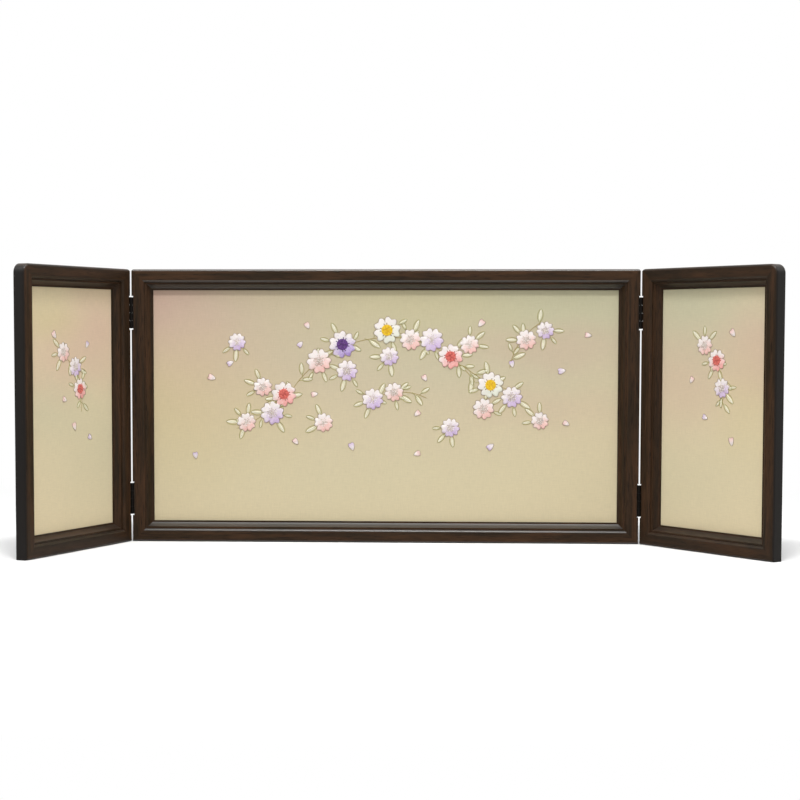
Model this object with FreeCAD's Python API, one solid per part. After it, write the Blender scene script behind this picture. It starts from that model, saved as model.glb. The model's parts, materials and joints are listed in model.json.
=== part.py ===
import FreeCAD, Part
import math
import os

# A table folding screen: a wide centre panel and two narrow wings, each wing hung on two small butt
# hinges and swung forward. Every panel is a mitred hardwood frame with a stepped moulding, and holds a
# board wrapped in fabric, a backing board and the steel tabs that keep them in the rebate.
# Millimetres, +Z up. The origin is the middle of the centre panel's bottom face and the fronts face -Y.
# The three panels are made side by side, opened flat, and the wings are then folded about their pins.

# Panels
centre_width = 519.0
wing_width = 175.0
panel_height = 280.0
panel_thickness = 13.0
panel_gap = 0.8
left_fold_degrees = 66.0
right_fold_degrees = 51.5

# Moulding, from a rail's outer edge to the opening
flat_width = 11.3
step_width = 2.1
step_depth = 2.7
step_bulge_share = 0.16
ledge_width = 2.1
cove_width = 3.9
cove_depth = 5.6
cove_hollow_share = 0.06
lip_width = 1.8
lip_thickness = 0.8
rebate_lap = 3.5

# Rounded edges and corners of a panel's outline
front_arris_radius = 2.4
back_arris_radius = 1.0
hinge_arris_radius = 0.5
centre_corner_easing = 0.1
wing_inner_corner_easing = 1.6
wing_outer_corner_easing = 6.6

# Boards in the rebate
fabric_thickness = 0.3
fabric_turn_in = 12.0
core_thickness = 1.4
backing_thickness = 1.0
board_clearance = 0.5

# Splines glued across the mitres
spline_length = 12.0
spline_width = 5.0
spline_thickness = 1.5
spline_inset = 7.5
spline_depth = 5.0

# Steel tabs pressed into the rebate's wall behind the backing board
tab_width = 7.0
tab_bite = 4.0
tab_reach = 6.0
tab_thickness = 0.4
tab_spacing = 120.0
least_tab_count = 2

# Butt hinges
hinge_length = 32.0
hinge_end_distance = 28.5
barrel_diameter = 4.0
leaf_thickness = 1.0
leaf_reach = 11.0
knuckle_count = 4
knuckle_gap = 0.2
pin_clearance = 0.05
pin_chamfer = 0.2
barrel_clearance = 0.3
axis_proud = 0.5
mortise_end_clearance = 1.3
leaf_edge_clearance = 0.2

# Hinge screws
screw_length = 10.0
screw_shank_radius = 1.0
screw_head_radius = 1.8
screw_tip_length = 2.0
screw_clearance = 0.05
screw_row_distance = 6.2
screw_stagger = 1.0
screw_height_shares = (0.2, 0.8)
recess_width = 0.5
recess_depth = 0.4

# One overrun serves every cut
overrun = 1.0

# Sizes worked out from those above
rail_face = flat_width + step_width + ledge_width + cove_width + lip_width
lip_front = step_depth + cove_depth
rebate_front = lip_front + lip_thickness
rebate_wall = rail_face - rebate_lap
core_front = rebate_front + fabric_thickness
backing_front = core_front + core_thickness + fabric_thickness
tab_front = backing_front + backing_thickness
barrel_radius = barrel_diameter / 2
bore_radius = barrel_radius - leaf_thickness
knuckle_pitch = hinge_length / knuckle_count
front_plane = -panel_thickness / 2
axis_plane = front_plane - axis_proud

Z_AXIS = FreeCAD.Vector(0, 0, 1)
TOWARDS_FRONT = FreeCAD.Vector(0, -1, 0)


def one_solid(shape):
    """The single solid of a boolean's result."""
    solids = shape.Solids
    if len(solids) != 1:
        raise ValueError("expected one solid, got %d" % len(solids))
    return solids[0]


def box(low, high):
    """A box between two corners, each given as x, y, z."""
    size = [b - a for a, b in zip(low, high)]
    return Part.makeBox(size[0], size[1], size[2], FreeCAD.Vector(*low))


def arc_by_bulge(start, end, share):
    """An arc of the section whose middle stands off its chord by a share of the chord's length."""
    chord = end - start
    middle = (start + end) / 2 + FreeCAD.Vector(0, -chord.z, chord.y) * share
    return Part.Arc(start, middle, end).toShape()


def moulding_face():
    """A rail's section: Z runs from the outer edge towards the opening, Y from the front to the back."""
    def at(inward, depth):
        return FreeCAD.Vector(0, depth, inward)

    step_end = flat_width + step_width
    ledge_end = step_end + ledge_width
    cove_end = ledge_end + cove_width
    outline = [
        Part.makeLine(at(0, 0), at(flat_width, 0)),
        arc_by_bulge(at(flat_width, 0), at(step_end, step_depth), step_bulge_share),
        Part.makeLine(at(step_end, step_depth), at(ledge_end, step_depth)),
        arc_by_bulge(at(ledge_end, step_depth), at(cove_end, lip_front), -cove_hollow_share),
        Part.makeLine(at(cove_end, lip_front), at(rail_face, lip_front)),
        Part.makeLine(at(rail_face, lip_front), at(rail_face, rebate_front)),
        Part.makeLine(at(rail_face, rebate_front), at(rebate_wall, rebate_front)),
        Part.makeLine(at(rebate_wall, rebate_front), at(rebate_wall, panel_thickness)),
        Part.makeLine(at(rebate_wall, panel_thickness), at(0, panel_thickness)),
        Part.makeLine(at(0, panel_thickness), at(0, 0)),
    ]
    return Part.Face(Part.Wire(outline))


def mitred_bar(length):
    """A rail lying along X from 0 to length, cut at 45 degrees at both ends."""
    bar = moulding_face().extrude(FreeCAD.Vector(length, 0, 0))
    low = -overrun
    high = rail_face + overrun
    corners = [(low, low), (length - low, low), (length - high, high), (high, high)]
    points = [FreeCAD.Vector(x, low, z) for x, z in corners]
    wedge = Part.Face(Part.makePolygon(points + points[:1]))
    return one_solid(bar.common(wedge.extrude(FreeCAD.Vector(0, panel_thickness - 2 * low, 0))))


def side_placements(width):
    """Each side's name, its outer length and the placement that turns a bar lying along X onto it."""
    turns = [
        ("bottom", width, 0, 0, 0),
        ("right", panel_height, 90, width, 0),
        ("top", width, 180, width, panel_height),
        ("left", panel_height, 270, 0, panel_height),
    ]
    placed = []
    for name, length, angle, x, z in turns:
        turn = FreeCAD.Rotation(TOWARDS_FRONT, angle)
        placed.append((name, length, FreeCAD.Placement(FreeCAD.Vector(x, 0, z), turn)))
    return placed


def moved(shape, placement):
    """A copy of a shape, carried by a placement."""
    copy = shape.copy()
    copy.Placement = placement.multiply(copy.Placement)
    return copy


def eased(block, front_radius):
    """A block as thick as the panel, its front edges rounded to a radius and its back edges to their own."""
    for depth, radius in ((0, front_radius), (panel_thickness, back_arris_radius)):
        edges = [e for e in block.Edges if all(abs(v.Y - depth) < radius / 2 for v in e.Vertexes)]
        block = block.makeFillet(radius, edges)
    return block


def rounded_outline(left_end, right_end, top_left_radius, top_right_radius):
    """A block from one end to the other, as high and as thick as the panel, with rounded top corners."""
    quarter = math.sqrt(0.5)

    def at(x, z):
        return FreeCAD.Vector(x, 0, z)

    left = left_end + top_left_radius
    right = right_end - top_right_radius
    left_height = panel_height - top_left_radius
    right_height = panel_height - top_right_radius
    left_middle = at(left - top_left_radius * quarter, left_height + top_left_radius * quarter)
    right_middle = at(right + top_right_radius * quarter, right_height + top_right_radius * quarter)
    outline = [
        Part.makeLine(at(left_end, 0), at(left_end, left_height)),
        Part.Arc(at(left_end, left_height), left_middle, at(left, panel_height)).toShape(),
        Part.makeLine(at(left, panel_height), at(right, panel_height)),
        Part.Arc(at(right, panel_height), right_middle, at(right_end, right_height)).toShape(),
        Part.makeLine(at(right_end, right_height), at(right_end, 0)),
        Part.makeLine(at(right_end, 0), at(left_end, 0)),
    ]
    return Part.Face(Part.Wire(outline)).extrude(FreeCAD.Vector(0, panel_thickness, 0))


def panel_envelope(width, hinged_sides, top_left_radius, top_right_radius):
    """The panel's outline, as thick as the panel, with rounded top corners. The free edges have the full front
    rounding. It runs out at a hinged side, whose own edge is only eased, so that the hinges sit close."""
    past = max(top_left_radius, top_right_radius) + overrun
    left_past = past if "left" in hinged_sides else 0
    right_past = past if "right" in hinged_sides else 0
    free_outline = rounded_outline(-left_past, width + right_past, top_left_radius, top_right_radius)
    hinged_low = (left_past - past, 0, -past)
    hinged_high = (width + past - right_past, panel_thickness, panel_height + past)
    free = eased(free_outline, front_arris_radius)
    hinged = eased(box(hinged_low, hinged_high), hinge_arris_radius)
    outline = rounded_outline(0, width, top_left_radius, top_right_radius)
    return one_solid(free.common(hinged).common(outline))


def spline():
    """A flat dowel with round ends, set across the mitre at a bar's start."""
    radius = spline_width / 2
    half = spline_length / 2 - radius
    ends = [Part.makeCylinder(radius, spline_thickness, FreeCAD.Vector(x, 0, 0)) for x in (-half, half)]
    plate = box((-half, -radius, 0), (half, radius, spline_thickness))
    whole = plate.fuse(ends).removeSplitter()
    flat = FreeCAD.Placement(FreeCAD.Vector(), FreeCAD.Rotation(FreeCAD.Vector(1, 0, 0), -90))
    across = FreeCAD.Rotation(TOWARDS_FRONT, -45)
    seat = FreeCAD.Placement(FreeCAD.Vector(spline_inset, spline_depth, spline_inset), across)
    return one_solid(moved(moved(whole, flat), seat))


def bar_tabs(length):
    """The steel tabs of one bar: each bites into the rebate's wall and lies on the backing board."""
    inner = length - 2 * rail_face
    count = max(least_tab_count, round(inner / tab_spacing))
    tabs = []
    for i in range(count):
        middle = rail_face + inner * (i + 0.5) / count
        low = (middle - tab_width / 2, tab_front, rebate_wall - tab_bite)
        high = (middle + tab_width / 2, tab_front + tab_thickness, rebate_wall + tab_reach)
        tabs.append(box(low, high))
    return tabs


def board(width, margin, front, thickness):
    """A flat board whose edges lie a margin inside the panel's outline."""
    return box((margin, front, margin), (width - margin, front + thickness, panel_height - margin))


def fabric_cover(width):
    """The fabric drawn over the core board's face and edges, and turned in behind it."""
    outer_margin = rebate_wall + board_clearance
    core_margin = outer_margin + fabric_thickness
    whole = board(width, outer_margin, rebate_front, core_thickness + 2 * fabric_thickness)
    core = board(width, core_margin, core_front, core_thickness)
    window = board(width, core_margin + fabric_turn_in, core_front, core_thickness + fabric_thickness + overrun)
    return one_solid(whole.cut(core).cut(window))


def make_panel(name, side_names, hinged_sides, x_start, width, top_left_radius, top_right_radius):
    """All the pieces of one panel, opened flat, as a dictionary from node name to shape."""
    envelope = panel_envelope(width, hinged_sides, top_left_radius, top_right_radius)
    sides = side_placements(width)
    splines = [moved(spline(), placement) for _, _, placement in sides]
    tabs = []
    bars = {}
    for side, length, placement in sides:
        side_tabs = bar_tabs(length)
        bar = mitred_bar(length).cut(side_tabs)
        bars[side] = one_solid(moved(bar, placement).common(envelope).cut(splines))
        tabs += [moved(tab, placement) for tab in side_tabs]
    core_margin = rebate_wall + board_clearance + fabric_thickness
    backing_margin = rebate_wall + board_clearance
    pieces = {name + "_" + side_names[side]: bars[side] for side in bars}
    pieces[name + "_fabric_cover"] = fabric_cover(width)
    pieces[name + "_core_board"] = board(width, core_margin, core_front, core_thickness)
    pieces[name + "_backing_board"] = board(width, backing_margin, backing_front, backing_thickness)
    pieces[name + "_mitre_splines"] = Part.makeCompound(splines)
    pieces[name + "_retaining_tabs"] = Part.makeCompound(tabs)
    seat = FreeCAD.Placement(FreeCAD.Vector(x_start, front_plane, 0), FreeCAD.Rotation())
    return {node: moved(shape, seat) for node, shape in pieces.items()}


def screw(with_recess, grown):
    """A countersunk screw pointing along +X from its head's face at 0, grown all round by a clearance."""
    shank = screw_shank_radius + grown
    head = screw_head_radius + grown
    along = FreeCAD.Vector(1, 0, 0)
    start = FreeCAD.Vector()
    cone_length = head - shank
    straight = screw_length - screw_tip_length
    cone = Part.makeCone(head, shank, cone_length, start, along)
    body = Part.makeCylinder(shank, straight, start, along)
    tip = Part.makeCone(shank, 0, screw_tip_length + grown, FreeCAD.Vector(straight, 0, 0), along)
    whole = cone.fuse([body, tip]).removeSplitter()
    if with_recess:
        half = recess_width / 2
        arm = screw_shank_radius
        upright = box((-overrun, -half, -arm), (recess_depth, half, arm))
        level = box((-overrun, -arm, -half), (recess_depth, arm, half))
        whole = whole.cut([upright, level])
    return one_solid(whole)


def hinge_screws(direction, axis_x, base, with_recess, grown):
    """A leaf's screws, driven in the leaf's direction from the leaf's inner face."""
    turn = FreeCAD.Rotation(Z_AXIS, 0 if direction > 0 else 180)
    screws = []
    for i, share in enumerate(screw_height_shares):
        stagger = screw_stagger if i % 2 else -screw_stagger
        x = axis_x + direction * bore_radius
        y = axis_plane + screw_row_distance + stagger
        place = FreeCAD.Vector(x, y, base + hinge_length * share)
        screws.append(moved(screw(with_recess, grown), FreeCAD.Placement(place, turn)))
    return screws


def span(axis_x, direction, near, far):
    """Two x values at near and far distances from the pin in a leaf's direction, lowest first."""
    return sorted((axis_x + direction * near, axis_x + direction * far))


def hinge_leaf(direction, axis_x, base, first_knuckle):
    """A leaf with every second knuckle: a plate tangent to the barrel, notched at the other knuckles."""
    x_low, x_high = span(axis_x, direction, bore_radius, barrel_radius)
    plate_start = axis_plane + barrel_radius + barrel_clearance
    plate_end = axis_plane + leaf_reach
    plate = box((x_low, plate_start, base), (x_high, plate_end, base + hinge_length))
    knuckles = []
    for i in range(first_knuckle, knuckle_count, 2):
        low = base + i * knuckle_pitch + knuckle_gap / 2
        high = base + (i + 1) * knuckle_pitch - knuckle_gap / 2
        centre = FreeCAD.Vector(axis_x, axis_plane, low)
        knuckles.append(Part.makeCylinder(barrel_radius, high - low, centre))
        knuckles.append(box((x_low, axis_plane, low), (x_high, plate_start, high)))
    bore = Part.makeCylinder(bore_radius, hinge_length, FreeCAD.Vector(axis_x, axis_plane, base))
    whole = plate.fuse(knuckles).removeSplitter().cut(bore)
    holes = hinge_screws(direction, axis_x, base, False, screw_clearance)
    return one_solid(whole.cut(holes))


def hinge_pin(axis_x, base):
    """The pin, as long as the hinge, with chamfered ends."""
    radius = bore_radius - pin_clearance
    pin = Part.makeCylinder(radius, hinge_length, FreeCAD.Vector(axis_x, axis_plane, base))
    ends = [e for e in pin.Edges if e.Curve.TypeId == "Part::GeomCircle"]
    return one_solid(pin.makeChamfer(pin_chamfer, ends))


def mortise(direction, axis_x, base):
    """The pocket in a stile's edge for one leaf, with room round the barrel, and its screw holes."""
    x_low, x_high = span(axis_x, direction, 0, barrel_radius)
    low = base - mortise_end_clearance
    high = base + hinge_length + mortise_end_clearance
    back = axis_plane + leaf_reach + leaf_edge_clearance
    pocket = box((x_low, axis_plane - overrun, low), (x_high, back, high))
    relief_radius = barrel_radius + barrel_clearance
    relief = Part.makeCylinder(relief_radius, high - low, FreeCAD.Vector(axis_x, axis_plane, low))
    return [pocket, relief] + hinge_screws(direction, axis_x, base, False, screw_clearance)


def hang_wing(pieces, side, wing, centre_stile, wing_stile, axis_x):
    """Cuts the mortises of one wing's two hinges and adds the hinges' pieces."""
    to_wing = -1 if side == "left" else 1
    bases = {
        "lower": hinge_end_distance,
        "upper": panel_height - hinge_end_distance - hinge_length,
    }
    for level, base in bases.items():
        hinge = side + "_" + level + "_hinge"
        pieces[centre_stile] = one_solid(pieces[centre_stile].cut(mortise(-to_wing, axis_x, base)))
        pieces[wing_stile] = one_solid(pieces[wing_stile].cut(mortise(to_wing, axis_x, base)))
        pieces[hinge + "_centre_leaf"] = hinge_leaf(-to_wing, axis_x, base, 1)
        pieces[hinge + "_pin"] = hinge_pin(axis_x, base)
        centre_screws = hinge_screws(-to_wing, axis_x, base, True, 0)
        pieces[hinge + "_centre_screws"] = Part.makeCompound(centre_screws)
        wing[hinge + "_wing_leaf"] = hinge_leaf(to_wing, axis_x, base, 0)
        wing_screws = hinge_screws(to_wing, axis_x, base, True, 0)
        wing[hinge + "_wing_screws"] = Part.makeCompound(wing_screws)


def folded(pieces, axis_x, degrees):
    """A wing's pieces, turned about its hinge pins."""
    pin = FreeCAD.Vector(axis_x, axis_plane, 0)
    turn = FreeCAD.Placement(FreeCAD.Vector(), FreeCAD.Rotation(Z_AXIS, degrees), pin)
    return {node: moved(shape, turn) for node, shape in pieces.items()}


def make_screen():
    """Every node of the screen, standing with its wings folded forward."""
    centre_radius = front_arris_radius + centre_corner_easing
    inner_radius = front_arris_radius + wing_inner_corner_easing
    outer_radius = front_arris_radius + wing_outer_corner_easing
    centre_sides = {"bottom": "bottom_rail", "right": "right_stile", "top": "top_rail", "left": "left_stile"}
    left_sides = {"bottom": "bottom_rail", "right": "inner_stile", "top": "top_rail", "left": "outer_stile"}
    right_sides = {"bottom": "bottom_rail", "right": "outer_stile", "top": "top_rail", "left": "inner_stile"}
    half = centre_width / 2
    both_sides = ("left", "right")
    centre = make_panel("centre", centre_sides, both_sides, -half, centre_width, centre_radius, centre_radius)
    left_start = -half - panel_gap - wing_width
    left = make_panel("left_wing", left_sides, ("right",), left_start, wing_width, outer_radius, inner_radius)
    right_start = half + panel_gap
    right = make_panel("right_wing", right_sides, ("left",), right_start, wing_width, inner_radius, outer_radius)
    axis_x = half + panel_gap / 2
    both = dict(centre)
    both.update(left)
    both.update(right)
    left_added = {}
    right_added = {}
    hang_wing(both, "left", left_added, "centre_left_stile", "left_wing_inner_stile", -axis_x)
    hang_wing(both, "right", right_added, "centre_right_stile", "right_wing_inner_stile", axis_x)
    for node in left:
        left_added[node] = both.pop(node)
    for node in right:
        right_added[node] = both.pop(node)
    both.update(folded(left_added, -axis_x, left_fold_degrees))
    both.update(folded(right_added, axis_x, -right_fold_degrees))
    return both


os.makedirs("parts", exist_ok=True)
for node, shape in make_screen().items():
    if not shape.isValid():
        raise ValueError("invalid shape: " + node)
    shape.exportStep("parts/" + node + ".step")
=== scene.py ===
import json
import math

import bmesh
import bpy
import numpy as np
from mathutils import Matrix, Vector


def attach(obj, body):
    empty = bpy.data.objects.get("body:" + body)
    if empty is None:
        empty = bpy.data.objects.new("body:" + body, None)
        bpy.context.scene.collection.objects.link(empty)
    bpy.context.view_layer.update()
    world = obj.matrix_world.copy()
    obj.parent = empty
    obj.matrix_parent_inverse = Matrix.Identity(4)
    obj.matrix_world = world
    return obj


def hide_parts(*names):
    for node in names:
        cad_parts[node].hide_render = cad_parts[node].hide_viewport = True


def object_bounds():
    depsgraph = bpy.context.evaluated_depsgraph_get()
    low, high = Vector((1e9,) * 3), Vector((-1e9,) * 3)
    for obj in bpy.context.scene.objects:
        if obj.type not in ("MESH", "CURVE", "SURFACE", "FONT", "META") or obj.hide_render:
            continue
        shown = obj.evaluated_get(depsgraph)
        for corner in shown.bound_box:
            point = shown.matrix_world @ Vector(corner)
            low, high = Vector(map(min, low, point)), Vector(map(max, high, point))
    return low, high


bl_info = {
    "name": "Table folding screen",
    "version": (1, 0, 0),
    "blender": (4, 5, 0),
    "location": "3D View > Sidebar > Folding Screen",
    "description": "Dresses a three-panel folding screen: stained frames, stretched cloth and embroidery",
    "category": "Object",
}

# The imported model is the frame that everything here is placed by.
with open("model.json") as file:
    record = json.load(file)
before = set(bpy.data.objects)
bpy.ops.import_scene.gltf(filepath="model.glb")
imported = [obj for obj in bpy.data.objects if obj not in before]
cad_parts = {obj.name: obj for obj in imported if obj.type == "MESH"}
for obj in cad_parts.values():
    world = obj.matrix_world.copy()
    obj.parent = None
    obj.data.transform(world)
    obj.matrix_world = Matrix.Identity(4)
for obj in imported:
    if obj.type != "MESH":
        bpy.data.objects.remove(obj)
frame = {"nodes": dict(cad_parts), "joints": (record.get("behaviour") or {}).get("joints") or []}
cad_low, cad_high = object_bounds()

# A millimetre in metres, a length that counts as none, and the way up.
MM = 0.001
TINY = 0.001 * MM
UP = np.array([0.0, 0.0, 1.0])


# Small helpers

def linear(code):
    """The linear colour of an sRGB hex code, by the standard curve."""
    channels = [int(code[i:i + 2], 16) / 255 for i in (1, 3, 5)]
    return tuple(c / 12.92 if c <= 0.04045 else ((c + 0.055) / 1.055) ** 2.4 for c in channels)


def opaque(colour, tone=1):
    """A property's colour, times a tone, with full alpha, as a node's socket takes it."""
    return (colour[0] * tone, colour[1] * tone, colour[2] * tone, 1.0)


def node_points(node):
    """A node's vertices at rest, as an array of x, y, z."""
    mesh = frame["nodes"][node].data
    points = np.empty(len(mesh.vertices) * 3)
    mesh.vertices.foreach_get("co", points)
    return points.reshape(-1, 3)


def fold_at_rest(joint_name):
    """A wing's fold at rest in radians. Shut on the centre panel is a half turn, where its range
    ends."""
    joint = next(j for j in frame["joints"] if j["name"] == joint_name)
    return math.pi - math.radians(joint["range_deg"][1])


class Panel:
    """One panel of the screen: its name, its body, its turn about Z, which way its free edge faces
    along its own width, 0 where both edges are hinged, and where its cloth lies in its own axes."""

    def __init__(self, name, body, turn, free_side):
        self.name = name
        self.body = body
        self.turn = turn
        self.free_side = free_side
        self.right = np.array([math.cos(turn), math.sin(turn), 0.0])
        self.front = np.array([math.sin(turn), -math.cos(turn), 0.0])
        cover = node_points(name + "_fabric_cover")
        across = cover @ self.right
        out = cover @ self.front
        self.middle = (across.min() + across.max()) / 2
        self.half_width = (across.max() - across.min()) / 2
        self.low = cover[:, 2].min()
        self.high = cover[:, 2].max()
        self.face = out.max()
        self.depth = out.max() - out.min()

    def place(self, across, up, out):
        """Points of the shared frame: across from the panel's middle, up from the floor, out from the
        cloth."""
        across, up, out = np.broadcast_arrays(across, up, out)
        return ((self.middle + across)[..., None] * self.right
                + (self.face + out)[..., None] * self.front
                + up[..., None] * UP)


PANELS = (
    Panel("centre", "centre_panel", 0.0, 0),
    Panel("left_wing", "left_wing", fold_at_rest("left_wing_fold"), -1),
    Panel("right_wing", "right_wing", -fold_at_rest("right_wing_fold"), 1),
)


def mesh_from_grids(name, points, uv, tint, closed):
    """An object from a stack of grids, shaped (grids, rows, columns, 3). A closed grid joins its last
    column to its first. Each point carries a place on the material's pattern and a tint from 0 to 1."""
    grids, rows, columns = points.shape[:3]
    index = np.arange(grids * rows * columns).reshape(grids, rows, columns)
    if closed:
        index = np.concatenate([index, index[:, :, :1]], axis=2)
    quads = np.stack([index[:, :-1, :-1], index[:, :-1, 1:], index[:, 1:, 1:], index[:, 1:, :-1]], axis=-1)
    mesh = bpy.data.meshes.new(name)
    mesh.from_pydata(points.reshape(-1, 3).tolist(), [], quads.reshape(-1, 4).tolist())
    corners = np.empty(len(mesh.loops), dtype=np.int32)
    mesh.loops.foreach_get("vertex_index", corners)
    layer = mesh.uv_layers.new(name="pattern")
    layer.data.foreach_set("uv", uv.reshape(-1, 2)[corners].ravel())
    shade = mesh.attributes.new("tint", "FLOAT", "POINT")
    shade.data.foreach_set("value", np.broadcast_to(tint, points.shape[:3]).ravel())
    work = bmesh.new()
    work.from_mesh(mesh)
    bmesh.ops.remove_doubles(work, verts=work.verts, dist=TINY)
    bmesh.ops.recalc_face_normals(work, faces=work.faces)
    work.to_mesh(mesh)
    work.free()
    mesh.shade_smooth()
    made = bpy.data.objects.new(name, mesh)
    bpy.context.scene.collection.objects.link(made)
    return made


def add(tree, kind, inputs=None, **settings):
    """Adds a node, sets its settings, and fills its inputs with values or with links from other
    sockets."""
    node = tree.nodes.new(kind)
    for key, value in settings.items():
        setattr(node, key, value)
    for key, value in (inputs or {}).items():
        if isinstance(value, bpy.types.NodeSocket):
            tree.links.new(value, node.inputs[key])
        else:
            node.inputs[key].default_value = value
    return node


def new_material(name):
    """An empty node material, with its tree and its output."""
    material = bpy.data.materials.new(name)
    material.use_nodes = True
    tree = material.node_tree
    tree.nodes.clear()
    return material, tree, add(tree, "ShaderNodeOutputMaterial")


def dress(made, material, body):
    """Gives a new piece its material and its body."""
    made.data.materials.append(material)
    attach(made, body)


def repaint(node, material):
    """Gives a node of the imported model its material."""
    slots = frame["nodes"][node].data.materials
    slots.clear()
    slots.append(material)


# Sizes and colours that a user would change

class FrameFinish(bpy.types.PropertyGroup):
    """The stained hardwood of the frames."""

    dark: bpy.props.FloatVectorProperty(
        name="Stain", description="Colour of the dense latewood under the stain", subtype="COLOR",
        default=linear("#2B2015"), min=0, max=1)
    warm: bpy.props.FloatVectorProperty(
        name="Figure", description="Colour of the warmer streaks in the figure", subtype="COLOR",
        default=linear("#463020"), min=0, max=1)
    pore: bpy.props.FloatVectorProperty(
        name="Pores", description="Colour of the open pores, where the stain gathers", subtype="COLOR",
        default=linear("#140D08"), min=0, max=1)
    # Painted shade: a near-black colour put on the wings' outward free edges, standing in for the shade on
    # those faces.
    edge: bpy.props.FloatVectorProperty(
        name="Outer edge", subtype="COLOR",
        description="Colour of the wings' free edges, where the end grain drank more stain",
        default=linear("#1C1917"), min=0, max=1)
    # Painted sheen: a grey mixed into the wood's colour on faces that slope up or down, standing in for the
    # lamps' reflection on the mouldings. Its share sets how much of the wood it hides.
    painted_sheen: bpy.props.FloatVectorProperty(
        name="Bloom", description="Grey bloom of the oil where a moulding faces up or down",
        subtype="COLOR", default=linear("#3A3937"), min=0, max=1)
    painted_sheen_share: bpy.props.FloatProperty(
        name="Bloom share", description="How far the bloom hides the wood under it", default=0.7,
        min=0, max=1, subtype="FACTOR")
    # The wings' wood colours are scaled by this tone, darker than the centre's.
    wing_tone: bpy.props.FloatProperty(
        name="Wing tone", description="Tone of the wings' stain against the centre's", default=0.87,
        min=0, max=1, subtype="FACTOR")
    # These shares scale the coat's gloss on faces that slope up or down, and with it the painted grey sheen
    # there.
    centre_gloss: bpy.props.FloatProperty(
        name="Centre gloss", description="Share of oiled gloss on the centre frame's mouldings",
        default=0.9, min=0, max=1, subtype="FACTOR")
    wing_gloss: bpy.props.FloatProperty(
        name="Wing gloss", description="Share of oiled gloss on the wing frames' mouldings",
        default=0.25, min=0, max=1, subtype="FACTOR")
    figure_width: bpy.props.FloatProperty(
        name="Figure width", description="Width of a streak of the figure", default=7 * MM,
        unit="LENGTH")
    figure_length: bpy.props.FloatProperty(
        name="Figure length", description="Length of a streak of the figure", default=90 * MM,
        unit="LENGTH")
    pore_width: bpy.props.FloatProperty(
        name="Pore width", description="Width of a pore, drawn three times its real size",
        default=0.7 * MM, unit="LENGTH")
    pore_length: bpy.props.FloatProperty(
        name="Pore length", description="Length of a pore", default=14 * MM, unit="LENGTH")


class ClothSettings(bpy.types.PropertyGroup):
    """The gold cloth and its hand-dyed clouds."""

    gold: bpy.props.FloatVectorProperty(
        name="Gold", description="Colour of the cloth before it is dyed", subtype="COLOR",
        default=linear("#DACBA8"), min=0, max=1)
    rose: bpy.props.FloatVectorProperty(
        name="Rose", description="Colour of a dyed cloud of rose at its middle", subtype="COLOR",
        default=linear("#C9A598"), min=0, max=1)
    moss: bpy.props.FloatVectorProperty(
        name="Moss", description="Colour of a dyed cloud of moss green at its middle", subtype="COLOR",
        default=linear("#B4B59B"), min=0, max=1)
    honey: bpy.props.FloatVectorProperty(
        name="Honey", description="Colour of a dyed cloud of honey yellow at its middle", subtype="COLOR",
        default=linear("#CBBC92"), min=0, max=1)
    cloud_width: bpy.props.FloatProperty(
        name="Cloud width", description="Width of the waves in a dyed cloud's edge", default=70 * MM,
        unit="LENGTH")
    thread_spacing: bpy.props.FloatProperty(
        name="Thread spacing", description="Distance between threads, drawn about twice the real size",
        default=0.9 * MM, unit="LENGTH")
    slub_length: bpy.props.FloatProperty(
        name="Slub length", description="Length of a thick place in a thread", default=9 * MM,
        unit="LENGTH")
    mesh_pitch: bpy.props.FloatProperty(
        name="Mesh pitch", description="Size of a face of the cloth's mesh", default=12 * MM,
        unit="LENGTH")
    turn_in: bpy.props.FloatProperty(
        name="Turn-in", description="Cloth turned in behind the board", default=12 * MM, unit="LENGTH")
    edge_radius: bpy.props.FloatProperty(
        name="Edge radius", description="Rounding of the cloth over the board's edge", default=0.6 * MM,
        unit="LENGTH")
    thickness: bpy.props.FloatProperty(
        name="Thickness", description="Thickness of the cloth", default=0.3 * MM, unit="LENGTH")


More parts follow.
